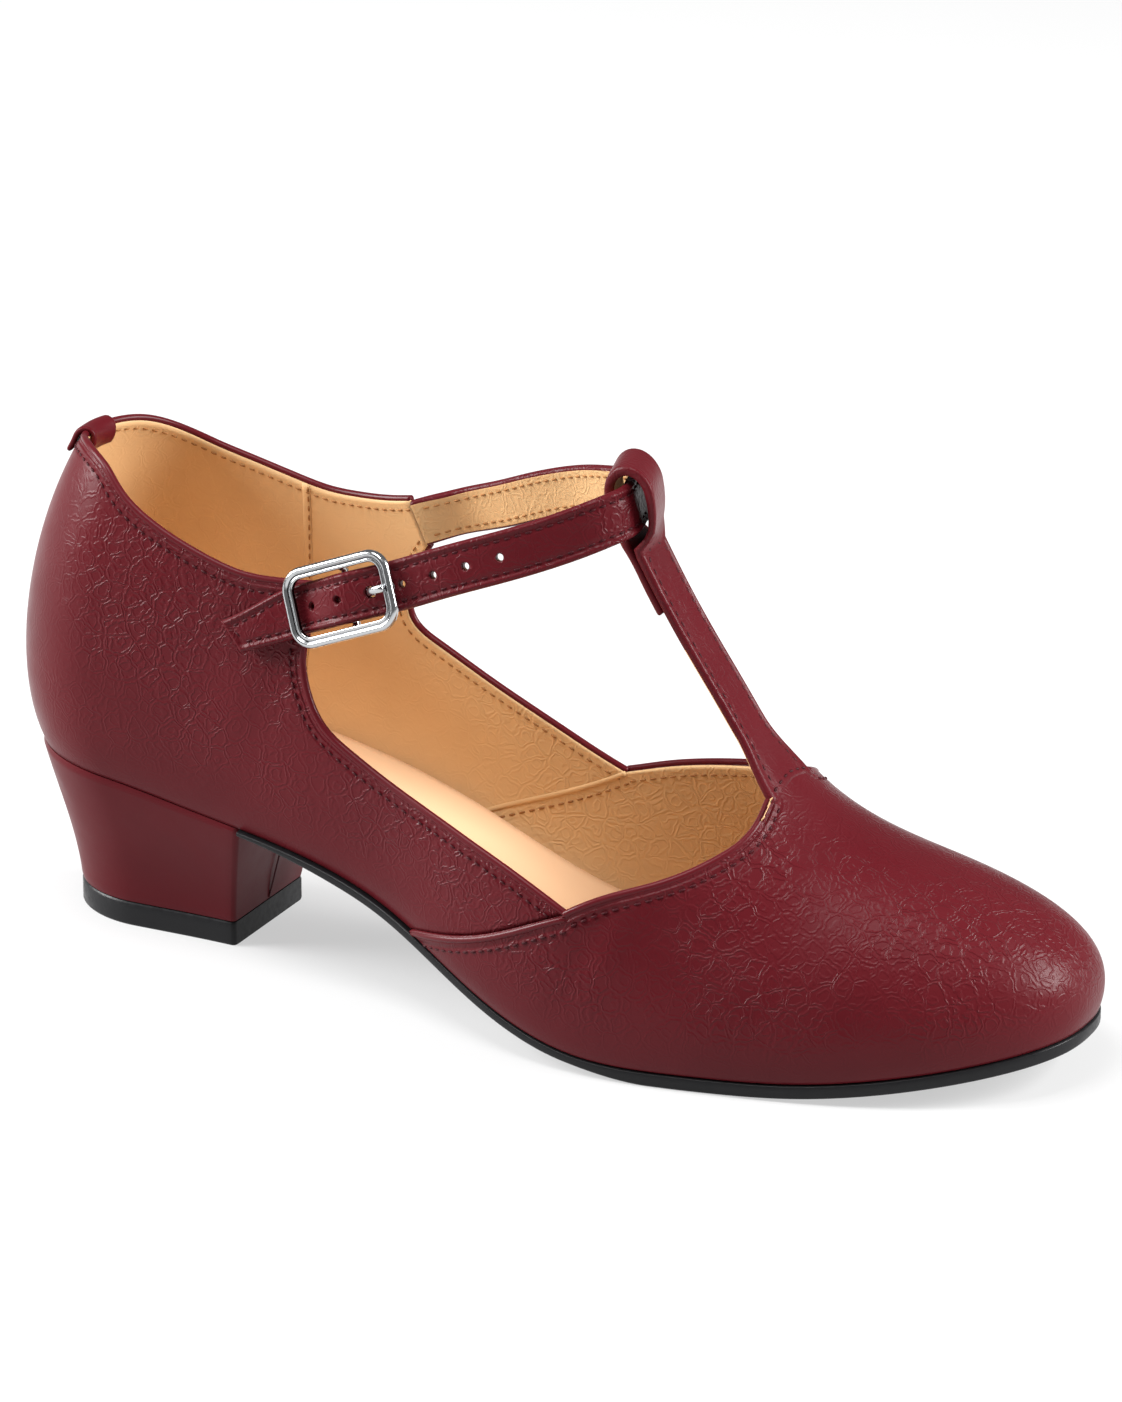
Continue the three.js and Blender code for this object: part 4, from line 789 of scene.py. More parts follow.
def upper_grid(side):
    """Shares and girths of the upper's ribs, and where the vamp's lap and the spine start."""
    feet = [np.array((0.0,))]
    heads = [np.array(((0.0, UPPER_EDGES[side][0][4][0][1]),))]
    sweeps = [np.array((1.0,))]
    starts = {}
    foot = 0.0
    sweep_power = 1.0
    count = 0
    for name, edge_foot, edge_sweep, ribs, points in UPPER_EDGES[side]:
        starts[name] = count
        if name == "vamp":
            feet.append(np.full(FAN_RIBS, foot))
            heads.append(np.tile(heads[-1][-1], (FAN_RIBS, 1)))
            sweeps.append(np.linspace(sweep_power, edge_sweep, FAN_RIBS + 1)[1:])
            sweep_power = edge_sweep
            count += FAN_RIBS
        first = turn_at(SHOE_LENGTH * foot)
        last = turn_at(SHOE_LENGTH * edge_foot)
        turns = equal_steps(lambda turn: feather_plan(side, turn), first, last, ribs)
        feet.append(place_along(turns[1:]) / SHOE_LENGTH)
        if name == "spine":
            share = np.linspace(points[0][0], points[1][0], ribs + 1)[1:]
            heads.append(np.stack([share, np.ones(ribs)], axis=-1))
        else:
            heads.append(edge_curve(side, points, ribs)[1:])
        sweeps.append(sweep_power + (edge_sweep - sweep_power) * np.arange(1, ribs + 1) / ribs)
        foot = edge_foot
        sweep_power = edge_sweep
        count += ribs
    feet = np.concatenate(feet)[:, None]
    heads = np.concatenate(heads)
    sweeps = np.concatenate(sweeps)[:, None]
    level = np.linspace(0, 1, UPPER_ROWS + 1)[None]
    share = feet + (heads[:, :1] - feet) * level ** sweeps
    return np.clip(share, 0, 1), heads[:, 1:] * level, starts


def crease_depth(side, share, girth):
    depth = np.zeros_like(share)
    for crease_side, at_share, at_girth, length, width, turn, deep in CREASES:
        if crease_side != side:
            continue
        along = (share - at_share) * SHOE_LENGTH
        around = (girth - at_girth) * GIRTH_LENGTH
        angle = math.radians(turn)
        run = along * math.cos(angle) + around * math.sin(angle)
        off = around * math.cos(angle) - along * math.sin(angle)
        depth += deep * np.exp(-((run / length) ** 2) - (off / width) ** 2)
    return depth


def build_skin():
    """The whole upper's reference skin: points, normals, creases, shares, girths and each side's grid."""
    grids = {}
    points = []
    facts = []
    count = 0
    for side in OUTWARD:
        share, girth, starts = upper_grid(side)
        index = np.arange(share.size).reshape(share.shape) + count
        points.append(last_point(side, SHOE_LENGTH * share, girth).reshape(-1, 3))
        facts.append(np.stack([share, girth, crease_depth(side, share, girth)], axis=-1).reshape(-1, 3))
        grids[side] = (index, starts)
        count += share.size
    near, near_starts = grids["lateral"]
    far, far_starts = grids["medial"]
    far[0] = near[0]
    far[-1] = near[-1]
    far[far_starts["spine"]:, -1] = near[near_starts["spine"]:, -1]
    points = np.concatenate(points)
    facts = np.concatenate(facts)
    faces = np.concatenate([grid_faces(near), grid_faces(far)[:, ::-1]])
    corners = points[faces]
    face_normals = np.cross(corners[:, 2] - corners[:, 0], corners[:, 3] - corners[:, 1])
    normals = np.zeros_like(points)
    for k in range(4):
        np.add.at(normals, faces[:, k], face_normals)
    for index, starts in grids.values():
        fan = index[starts["vamp"]:starts["vamp"] + FAN_RIBS + 1]
        for shared in (fan[:, 0], fan[:, -1]):
            normals[shared] = normals[shared].sum(axis=0)
    feet = np.concatenate([near[:, 0], far[:, 0]])
    normals[feet, 2] = 0
    return points, unit(normals), facts, grids


skin_points, skin_normals, skin_facts, skin_grids = build_skin()


def ribs_between(first, last):
    """The quads of both sides' ribs between two edges' first ribs (None for the whole)."""
    faces = []
    for side in OUTWARD:
        index, starts = skin_grids[side]
        low = starts[first] if first else 0
        high = starts[last] + 1 if last else len(index)
        part = grid_faces(index[low:high])
        faces.append(part if side == "lateral" else part[:, ::-1])
    return np.concatenate(faces)


def edge_on_last(side, name, steps=160):
    """Shares times length, and girths, along one named edge."""
    curve = edge_curve(side, edge_named(side, name)[4], steps)
    return curve[:, 0] * SHOE_LENGTH, curve[:, 1]


def lap_on_last(side):
    """The same along the vamp's lap, from the edge down to the feather line."""
    index, starts = skin_grids[side]
    facts = skin_facts[index[starts["vamp"]]][::-1]
    return facts[:, 0] * SHOE_LENGTH, facts[:, 1]


def skin_line(side, x, girth):
    """Points and normals of the last's skin along a line."""
    return last_point(side, x, girth), last_frame(side, x, girth)[0]


def shifted(side, x, girth, distance, inward):
    """The curve moved over the last's skin by a distance, to the side that inward chooses."""
    points = last_point(side, x, girth)
    normal, upward, ahead = last_frame(side, x, girth)
    run = unit(np.gradient(points, axis=0))
    away = unit(np.cross(normal, run)) * inward * distance
    moves = []
    for a, u, w in zip(ahead, upward, away):
        moves.append(np.linalg.lstsq(np.stack([a, u], axis=-1), w, rcond=None)[0])
    moves = np.array(moves)
    return np.clip(x + moves[:, 0], 0, SHOE_LENGTH), girth + moves[:, 1]


def distance_to(points, curves):
    nearest = np.full(len(points), 1.0)
    every = np.concatenate(curves)
    for start in range(0, len(points), 4000):
        some = points[start:start + 4000]
        gap = np.linalg.norm(some[:, None] - every[None], axis=-1)
        nearest[start:start + 4000] = gap.min(axis=1)
    return nearest


INWARD = {"lateral": -1, "medial": 1}
QUARTER_EDGES = (("lateral", "collar"), ("lateral", "cutout"), ("medial", "collar"), ("medial", "cutout"))
VAMP_EDGES = (("lateral", "vamp"), ("medial", "vamp"))


def edge_points(pairs, laps=False):
    curves = [last_point(side, *edge_on_last(side, name)) for side, name in pairs]
    if laps:
        curves += [last_point(side, *lap_on_last(side)) for side in OUTWARD]
    return curves


# Where the grain fades in, as a start and a length, in shares of the length or of the girth
GRAIN_LEAST = 0.12
GRAIN_HEEL_FADE = (0.03, 0.12)
GRAIN_FEATHER_FADE = (0.05, 0.22)
GRAIN_CROWN_LOSS = 0.55
GRAIN_CROWN_FADE = (0.75, 0.25)
GRAIN_FRONT_FADE = (0.65, 0.1)
LINING_GRAIN_LEAST = 0.25
LINING_GRAIN_FADE = (0.3, 0.15)


def fade(value, span):
    return smooth((value - span[0]) / span[1])


def grain_amount():
    """Where the embossed grain shows: little at the back of the heel and towards the feather line."""
    share = skin_facts[:, 0]
    girth = skin_facts[:, 1]
    back = fade(share, GRAIN_HEEL_FADE)
    low = fade(girth, GRAIN_FEATHER_FADE)
    crown = 1 - GRAIN_CROWN_LOSS * fade(girth, GRAIN_CROWN_FADE) * fade(share, GRAIN_FRONT_FADE)
    return GRAIN_LEAST + (1 - GRAIN_LEAST) * back * low * crown


def make_upper():
    crease = skin_facts[:, 2]
    share = skin_facts[:, 0]
    grain = grain_amount()
    outer = lambda step: skin_points + skin_normals * (step - crease)[:, None]
    inner_face = -(UPPER_WALL - LINING_WALL)
    gap = 0.00002

    quarter_faces = ribs_between(None, "vamp")
    facts = {"edge": distance_to(skin_points, edge_points(QUARTER_EDGES)), "grain": grain}
    middle = skin_points + skin_normals * inner_face
    quarter = shell("quarters", outer(-LAP_STEP / 2), middle, quarter_faces, [grained], attributes=facts)
    dress(quarter, "upper_leather", "upper")

    facts = {"edge": distance_to(skin_points, edge_points(VAMP_EDGES, laps=True)), "grain": grain}
    vamp = shell("vamp", outer(LAP_STEP / 2), middle, ribs_between("vamp", None), [grained], attributes=facts)
    dress(vamp, "upper_leather")

    facts = {"edge": distance_to(skin_points, edge_points(QUARTER_EDGES + VAMP_EDGES)),
             "grain": LINING_GRAIN_LEAST + (1 - LINING_GRAIN_LEAST) * fade(share, LINING_GRAIN_FADE)}
    inner = skin_points - skin_normals * UPPER_WALL
    front = middle - skin_normals * gap
    lined = shell("lining", front, inner, ribs_between(None, None), [lining], attributes=facts)
    dress(lined, "lining_leather")


def cord_along(side, x, girth, radius, depth, inset, inward):
    """A cord on the wall's edge: depth is how far its middle lies under the last's skin."""
    points, normal = skin_line(side, *shifted(side, x, girth, inset, inward))
    return sweep(tube_rings(points - normal * depth, normal, radius, radius))


def make_edge_cords():
    rolled = []
    linings = []
    for side, name in QUARTER_EDGES + VAMP_EDGES:
        x, girth = edge_on_last(side, name)
        step = LAP_STEP / 2 if name == "vamp" else -LAP_STEP / 2
        depth = PIPING_RADIUS - step - PIPING_SINK / 2
        rolled.append(cord_along(side, x, girth, PIPING_RADIUS, depth, -PIPING_RISE, INWARD[side]))
        depth = UPPER_WALL - LINING_CORD_RADIUS
        linings.append(cord_along(side, x, girth, LINING_CORD_RADIUS, depth, LINING_DROP, INWARD[side]))
    for side in OUTWARD:
        x, girth = lap_on_last(side)
        depth = PIPING_RADIUS - LAP_STEP / 2 - PIPING_SINK / 2
        rolled.append(cord_along(side, x, girth, PIPING_RADIUS, depth, PIPING_RADIUS, -INWARD[side]))
    dress_parts("edge_piping", rolled, piping, "upper_leather")
    dress_parts("lining_edge", linings, cream, "lining_leather")


def make_upper_stitches():
    outside = []
    inside = []
    laps = []
    for side, name in QUARTER_EDGES + VAMP_EDGES:
        step = LAP_STEP / 2 if name == "vamp" else -LAP_STEP / 2
        edge = edge_on_last(side, name)
        points, normal = skin_line(side, *shifted(side, *edge, STITCH_INSET, INWARD[side]))
        outside += stitch_parts(points + normal * step, normal)
        points, normal = skin_line(side, *shifted(side, *edge, LINING_STITCH_INSET, INWARD[side]))
        inside += stitch_parts(points - normal * UPPER_WALL, -normal)
    for side in OUTWARD:
        lap = lap_on_last(side)
        points, normal = skin_line(side, *shifted(side, *lap, STITCH_INSET + PIPING_RADIUS, -INWARD[side]))
        outside += stitch_parts(points + normal * LAP_STEP / 2, normal)
        points, normal = skin_line(side, *lap)
        laps.append(sweep(tube_rings(points - normal * UPPER_WALL, normal, LINING_LAP_RISE, LINING_LAP_HALF)))
        points, normal = skin_line(side, *shifted(side, *lap, LINING_LAP_INSET, -INWARD[side]))
        inside += stitch_parts(points - normal * UPPER_WALL, -normal)
    head = np.interp(SHOE_LENGTH * LINING_SEAM[0], *edge_on_last("medial", "collar", LINING_SEAM_SAMPLES))
    part = np.linspace(LINING_SEAM_FOOT, 1, LINING_SEAM_STEPS)
    x = SHOE_LENGTH * (LINING_SEAM[1] + (LINING_SEAM[0] - LINING_SEAM[1]) * part)
    points, normal = skin_line("medial", x, head * part)
    line = points - normal * UPPER_WALL
    laps.append(sweep(tube_rings(line, normal, LINING_SEAM_RISE, LINING_SEAM_HALF)))
    inside += stitch_parts(line + (LINING_SEAM_HALF / 2, 0, 0) - normal * LINING_SEAM_RISE, -normal)
    dress_parts("lining_laps", laps, lining, "lining_leather")
    dress_parts("upper_stitches", outside, thread_and_painted_shade, "upper_leather")
    dress_parts("lining_stitches", inside, tan_thread, "lining_leather")


# Sole and heel

def slab(name, levels, materials):
    """A solid from levels, top to bottom; each level is two arrays of points, lateral and medial."""
    rings = [np.concatenate([lateral, medial[::-1]]) for lateral, medial in levels]
    index = np.arange(len(rings) * len(rings[0])).reshape(len(rings), -1)
    faces = grid_faces(np.concatenate([index, index[:, :1]], axis=1)).tolist()
    half = len(rings[0]) // 2
    for row, order in ((index[0], 1), (index[-1], -1)):
        across = np.stack([row[:half], row[::-1][:half]], axis=0)
        faces += [face[::order] for face in grid_faces(across).tolist()]
    return add_object(name, np.concatenate(rings), tidy_faces(faces), materials, sharp=SHARP_EDGE)


def plan_level(turns, inset, height_at):
    level = []
    for side in OUTWARD:
        plan = plan_point(side, turns, inset)
        level.append(np.concatenate([plan, height_at(plan[:, 0], place_along(turns))[:, None]], axis=1))
    return level


def make_outsole():
    turns = np.linspace(turn_at(HEEL_SEAT_LENGTH + FIT_GAP), 1, OUTSOLE_STEPS)
    top = lambda x, along: feather_height(along) - FIT_GAP

    def bottom(x, along):
        slope = slope_of(feather_height, along)
        full = smooth((along / SHOE_LENGTH - OUTSOLE_WAIST_END) / OUTSOLE_WAIST_FADE)
        thick = OUTSOLE_WAIST_THICKNESS + (OUTSOLE_THICKNESS - OUTSOLE_WAIST_THICKNESS) * full
        thick = thick - OUTSOLE_BREAST_THIN * smooth(1 - (along - HEEL_SEAT_LENGTH) / OUTSOLE_BREAST_FADE)
        return np.maximum(0, top(x, along) - thick * np.hypot(1, slope))

    levels = [plan_level(turns, OUTSOLE_ROUND - OUTSOLE_EDGE, top)]
    for part in (0.3, 0.7, 1.0):
        inset = OUTSOLE_ROUND * (1 - part) ** 2 - OUTSOLE_EDGE
        levels.append(plan_level(turns, inset, lambda x, a, p=part: top(x, a) - OUTSOLE_ROUND * p * 0.5))
    for part in (0.0, 0.4, 0.75, 1.0):
        inset = OUTSOLE_ROUND * (1 - math.sqrt(1 - part * part)) - OUTSOLE_EDGE
        levels.append(plan_level(turns, inset, lambda x, a, p=part: bottom(x, a) + OUTSOLE_ROUND * (1 - p)))
    dress(slab("sole", levels, [black]), "sole_rubber", "outsole")


def make_insole():
    turns = np.linspace(0.002, 0.998, INSOLE_STEPS)
    inset = UPPER_WALL + LAP_STEP / 2 + FIT_GAP - INSOLE_FLARE
    across = np.linspace(-1, 1, INSOLE_ROWS)
    ends = [plan_point(side, turns, inset) for side in OUTWARD]
    middle = (ends[0] + ends[1]) / 2
    half = (ends[1] - ends[0]) / 2
    plan = middle[:, None] + half[:, None] * across[None, :, None]
    room = smooth(np.linalg.norm(half, axis=-1) / INSOLE_DISH_FADE)
    dish = INSOLE_DISH * (across ** 2)[None] * room[:, None]
    height = feather_height(plan[..., 0]) + INSOLE_THICKNESS - INSOLE_DISH + dish
    top = np.concatenate([plan, height[..., None]], axis=-1).reshape(-1, 3)
    low = top - (0, 0, INSOLE_THICKNESS - INSOLE_DISH)
    index = np.arange(len(top)).reshape(plan.shape[:2])
    cover = shell("insole_cover", top, low, grid_faces(index), [insole_cover])
    dress(cover, "lining_leather", "insole")


def heel_level(level, inset, height_at):
    """One level of the heel, from its seat (0) down to the lift (1), with rounded breast corners."""
    arc = np.linspace(0, np.pi / 2, BREAST_CORNER_STEPS)
    back = np.linspace(0, turn_at(HEEL_SEAT_LENGTH - BREAST_CORNER), HEEL_STEPS)
    corner = turn_at(HEEL_SEAT_LENGTH - BREAST_CORNER + BREAST_CORNER * np.sin(arc[1:]))
    turns = np.concatenate([back, corner])
    pull = np.concatenate([np.zeros(len(back)), BREAST_CORNER * (1 - np.cos(arc[1:]))])
    fall = level + HEEL_WAIST * level * level * (1 - level)
    length_share = LIFT_LENGTH / HEEL_SEAT_LENGTH
    seat_width = BALL_WIDTH * sum(last_value(side, HEEL_SEAT_LENGTH) for side in OUTWARD)
    width_share = LIFT_WIDTH / seat_width
    rows = []
    for side in OUTWARD:
        seat = plan_point(side, turns, inset)
        x = seat[:, 0] + fall * (LIFT_BACK_INSET + seat[:, 0] * (length_share - 1))
        y = seat[:, 1] * (1 + fall * (width_share - 1)) - OUTWARD[side] * pull
        rows.append(np.stack([x, y, height_at(seat[:, 0])], axis=-1))
    return rows


def make_heel():
    foot = LIFT_THICKNESS + FIT_GAP
    levels = []
    for share in np.concatenate([[0, 0.012, 0.03], np.linspace(0.06, 0.97, 22), [0.985, 1]]):
        seat = smooth(1 - share / SEAT_GROOVE_SHARE)
        bottom = smooth((share - 1 + SEAT_GROOVE_SHARE) / SEAT_GROOVE_SHARE)
        inset = SEAT_GROOVE * (seat + bottom / 2)
        height_at = lambda x, s=share: foot + (feather_height(x) - FIT_GAP - foot) * (1 - s)
        levels.append(heel_level(share, inset, height_at))
    dress(slab("heel_cover", levels, [plain]), "smooth_leather", "heel_block")
    levels = []
    for part in (0.0, 0.5, 1.0):
        level_height = LIFT_THICKNESS - LIFT_BEVEL * part
        levels.append(heel_level(1, LIFT_BEVEL * (1 - part), lambda x, h=level_height: x * 0 + h))
    for part in (0.0, 0.5, 1.0):
        level_height = LIFT_BEVEL * (1 - part)
        levels.append(heel_level(1, LIFT_BEVEL * part ** 2, lambda x, h=level_height: x * 0 + h))
    dress(slab("lift", levels, [black]), "sole_rubber", "top_lift")
    make_breast_seam(foot)


def make_breast_seam(foot):
    """The seam of the heel's cover, down the middle of its breast: a thin dark cord whose colour is painted
    shade of the seam's groove.
    """
    top = heel_level(0, 0, lambda x: foot + (feather_height(x) - FIT_GAP - foot))
    bottom = heel_level(1, 0, lambda x: x * 0 + foot)
    high = (top[0][-1] + top[1][-1]) / 2
    low = (bottom[0][-1] + bottom[1][-1]) / 2
    points = high + (low - high) * np.linspace(0.02, 0.99, BREAST_SEAM_STEPS)[:, None]
    normals = np.tile((1.0, 0, 0), (BREAST_SEAM_STEPS, 1))
    seam = sweep(tube_rings(points, normals, BREAST_SEAM_RISE, BREAST_SEAM_HALF))
    dress_parts("heel_cover_seam", [seam], thread_and_painted_shade, "smooth_leather")


# Straps

EDGE_STEPS = np.array((0, 0.00008, 0.0002, 0.0004, 0.0007, 0.001, 0.0013, 0.0016, 0.002, 0.0026, 0.0034))
STRAP_CORNER = 0.0009
BEAD_PLACE = 0.0008
BEAD_WIDTH = 0.00045
BEAD_START = 0.0004
VALLEY_PLACE = 0.0018
VALLEY_WIDTH = 0.0005


def rolled_height(distance, half, bead=0.00022, valley=0.00028):
    """How far a strap's face lies from its middle: a rounded edge, a bead, a valley and the flat."""
    corner = min(half, STRAP_CORNER)
    fall = np.clip(1 - distance / corner, 0, 1)
    body = half - corner + corner * np.sqrt(1 - fall * fall)
    rise = bead * np.exp(-((distance - BEAD_PLACE) / BEAD_WIDTH) ** 2)
    dent = valley * np.exp(-((distance - VALLEY_PLACE) / VALLEY_WIDTH) ** 2)
    return body + (rise - dent) * smooth(distance / BEAD_START)


def flat_height(distance, half):
    return rolled_height(distance, half, bead=0, valley=0)


def across_steps(half_width):
    steps = EDGE_STEPS[EDGE_STEPS < half_width * 0.8]
    inner = np.linspace(steps[-1], half_width, 4)[1:-1]
    low = np.concatenate([steps, inner]) - half_width
    return np.concatenate([low, [0], -low[::-1]])


def strap_mesh(centres, outs, widths, halves, half_thick, end_gap, front, back):
    """Points, faces, slots and edge distances of a strap; end_gap is each station's way to a rolled end."""
    rings = []
    gaps = []
    base = across_steps(halves.max())
    for centre, out, width, half, end in zip(centres, outs, widths, halves, end_gap):
        steps = base * half / halves.max()
        gap = np.minimum(half - np.abs(steps), end)
        face = centre + width * steps[:, None] + out * front(gap, half_thick)[:, None]
        rear = centre + width * steps[:, None] - out * back(gap, half_thick)[:, None]
        rings.append(np.concatenate([face, rear[::-1][1:-1]]))
        gaps.append(np.concatenate([gap, gap[::-1][1:-1]]))
    points, faces = sweep(np.array(rings))
    sides = len(rings[0])
    front_count = len(base) - 1
    slots = []
    for i in range(len(rings) - 1):
        for k in range(sides):
            back_gap = min(gaps[i][k], gaps[i][(k + 1) % sides])
            slots.append(1 if k >= front_count and back_gap > 0.0006 else 0)
    slots += [0, 0]
    return points, faces, slots, np.concatenate(gaps)


def stations(whole, pitch=0.0009, dense_start=False, dense_end=False):
    places = list(np.linspace(0, whole, int(whole / pitch)))
    if dense_start:
        places += list(EDGE_STEPS)
    if dense_end:
        places += list(whole - EDGE_STEPS)
    return np.unique(np.round(places, 6))


def path_point(along, across, rise):
    x = SHOE_LENGTH * along
    return np.array((x, BALL_WIDTH * across, feather_height(x) + INSTEP_RISE * rise))


def strap_frame(run):
    flat = unit(np.cross(UP, run))
    rising = unit(np.cross(run, flat))
    out = flat * math.cos(STRAP_LEAN) + rising * math.sin(STRAP_LEAN)
    width = rising * math.cos(STRAP_LEAN) - flat * math.sin(STRAP_LEAN)
    return out, width


buckle_front = path_point(*BUCKLE_FRONT)
buckle_back = path_point(*BUCKLE_BACK)
buckle_run = unit(buckle_back - buckle_front)
buckle_middle = (buckle_front + buckle_back) / 2
buckle_out, buckle_width = strap_frame(buckle_run)
wire_radius = BUCKLE_WIRE / 2
bar_radius = CENTRE_BAR / 2
half_strap = STRAP_THICKNESS / 2
frame_lift = half_strap + BUCKLE_LIFT_GAP + wire_radius
strap_bump = bar_radius + 2 * FIT_GAP + BUCKLE_TAB_WRAP + half_strap - BAR_SINK
half_frame = BUCKLE_LENGTH / 2 - wire_radius


def by_buckle(along, out, width):
    """Points by the buckle: along the strap towards its tail, out of the shoe, up its width."""
    values = (np.asarray(value, float)[..., None] for value in (along, out, width))
    along, out, width = np.broadcast_arrays(*values)
    return buckle_middle + along * buckle_run + out * buckle_out + width * buckle_width


def skin_at(side, x, height):
    """A point of the last's skin at a place along the shoe and a height."""
    girth = np.linspace(0, 1, CURVE_SAMPLES)
    points = last_point(side, np.full(CURVE_SAMPLES, x), girth)
    return points[np.argmax(points[:, 2] >= height)]


def ankle_path():
    top, bottom = edge_named("medial", "seam")[4]
    seam_top = last_point("medial", SHOE_LENGTH * top[0], top[1])
    seam_bottom = last_point("medial", SHOE_LENGTH * bottom[0], bottom[1])
    seam_x = SHOE_LENGTH * (top[0] + bottom[0]) / 2
    seam_normal = last_frame("medial", seam_x, (top[1] + bottom[1]) / 2)[0]
    seam_width = unit(seam_top - seam_bottom)
    seam_run = unit(np.cross(seam_width, seam_normal))
    if seam_run[0] < 0:
        seam_run = -seam_run
    start = (seam_top + seam_bottom) / 2 + seam_run * 2 * FIT_GAP - seam_normal * (half_strap + LAP_STEP / 2)
    points = [start] + [path_point(*row) for row in ANKLE_PATH]
    for along in np.linspace(-half_frame, half_frame, 5):
        bump = strap_bump * math.cos(math.pi * along / (2 * half_frame)) ** 2
        points.append(by_buckle(along, bump, 0))
    tail_run = buckle_run * math.cos(TAIL_DIP) - buckle_width * math.sin(TAIL_DIP)
    for part in (1 / 3, 2 / 3, 1):
        tail = by_buckle(half_frame, 0, 0) + tail_run * TAIL_LENGTH * part
        skin = skin_at("lateral", tail[0], tail[2])
        tail[1] = min(tail[1], skin[1] - (half_strap + 2 * FIT_GAP - LAP_STEP / 2 + TAIL_LIFT * part))
        points.append(tail)
    curve, whole = through_points(points)
    return curve, whole, seam_normal, seam_width


def ankle_frames(places, curve, whole, seam_normal, seam_width):
    centres = curve(places)
    run = run_along(curve, places)
    outs, widths = strap_frame(run)
    free = smooth(places / SEAM_BLEND)[:, None]
    outs = unit(seam_normal * (1 - free) + outs * free)
    widths = unit(seam_width * (1 - free) + widths * free)
    halves = STRAP_WIDTH / 2 + (TAIL_WIDTH - STRAP_WIDTH) / 2 * smooth(1 - (whole - places) / TAIL_LENGTH)
    return centres, run, outs, widths, halves


def cut_holes(strap, drills, material):
    points, faces = join_parts(drills)
    cutter = add_object("drill", points, faces, [material])
    cutter.parent = None
    modifier = strap.modifiers.new("holes", "BOOLEAN")
    modifier.operation = "DIFFERENCE"
    modifier.solver = "EXACT"
    modifier.object = cutter
    depsgraph = bpy.context.evaluated_depsgraph_get()
    mesh = bpy.data.meshes.new_from_object(strap.evaluated_get(depsgraph))
    strap.modifiers.clear()
    strap.data = mesh
    bpy.data.objects.remove(cutter)


def make_ankle_strap():
    path = ankle_path()
    curve, whole = path[:2]
    places = stations(whole, dense_end=True)
    centres, run, outs, widths, halves = ankle_frames(places, *path)
    end_gap = whole - places
    points, faces, slots, gaps = strap_mesh(
        centres, outs, widths, halves, half_strap, end_gap, rolled_height, flat_height)
    count = len(places)
    skew = (smooth(1 - (whole - places) / TAIL_CUT_LENGTH) * TAIL_SKEW / 2 / halves)[:, None]
    points = points.reshape(count, -1, 3)
    lift = np.einsum("nkc,nc->nk", points - centres[:, None], widths)
    points = (points + run[:, None] * (skew * lift)[..., None]).reshape(-1, 3)
    facts = {"edge": np.full(len(gaps), FAR_FROM_EDGE), "grain": np.full(len(gaps), 0.8)}
    strap = add_object("ankle_strap_cover", points, faces, [grained, lining], slots, facts)
    drills = []
    tried = np.linspace(0, whole, HOLE_SEARCH)
    gaps = np.linalg.norm(curve(tried) - by_buckle(-PRONG_HOLE_PLACE, 0, 0), axis=1)
    prong_place = tried[np.argmin(gaps)]
    for hole in HOLE_NUMBERS:
        place = np.array([prong_place + hole * HOLE_PITCH])
        centre, _, out, width, _ = (value[0] for value in ankle_frames(place, *path))
        radius = (STRAP_HOLE if hole else PRONG_HOLE) / 2
        drill = centre + out * np.linspace(-3, 3, 3)[:, None] * STRAP_THICKNESS
        drills.append(sweep(tube_rings(drill, np.tile(width, (3, 1)), radius, radius, 20)))
    cut_holes(strap, drills, thread_and_painted_shade)
    dress(strap, "upper_leather", "ankle_strap")

    front = []
    rear = []
    for edge in (-1, 1):
        inner = stations(whole - STRAP_STITCH_INSET)[2:]
        centres, run, outs, widths, halves = ankle_frames(inner, *path)
        line = centres + widths * (edge * (halves - STRAP_STITCH_INSET))[:, None]
        shift = (smooth(1 - (whole - inner) / TAIL_CUT_LENGTH) * TAIL_SKEW / 2 * edge)[:, None]
        line = line + run * shift
        front += stitch_parts(line + outs * (half_strap - STITCH_SINK), outs)
        rear += stitch_parts(line - outs * half_strap, -outs)
    last = np.array([whole - STRAP_STITCH_INSET])
    centre, run, out, width, half = (value[0] for value in ankle_frames(last, *path))
    reach = np.linspace(-1, 1, 9)[:, None]
    line = centre + width * reach * (half - STRAP_STITCH_INSET) + run * reach * TAIL_SKEW / 2
    front += stitch_parts(line + out * (half_strap - STITCH_SINK), np.tile(out, (9, 1)))
    dress_parts("strap_stitches", front, thread_and_painted_shade, "upper_leather")
    dress_parts("strap_lining_stitches", rear, tan_thread, "lining_leather")


# The T-strap, its loop and its folded end

def loop_half_depth(height):
    depth = half_strap + LOOP_SLACK
    wide = STRAP_WIDTH / 2 - LOOP_CROWN_DROP
    if height >= wide:
        crown = STRAP_WIDTH / 2 + LOOP_HEAD - wide
        return depth * math.sqrt(max(0, 1 - ((height - wide) / crown) ** 2))
    taper = wide + STRAP_WIDTH / 2 + LOOP_FOOT
    return depth * max(0, 1 - ((wide - height) / taper) ** LOOP_TAPER_POWER)


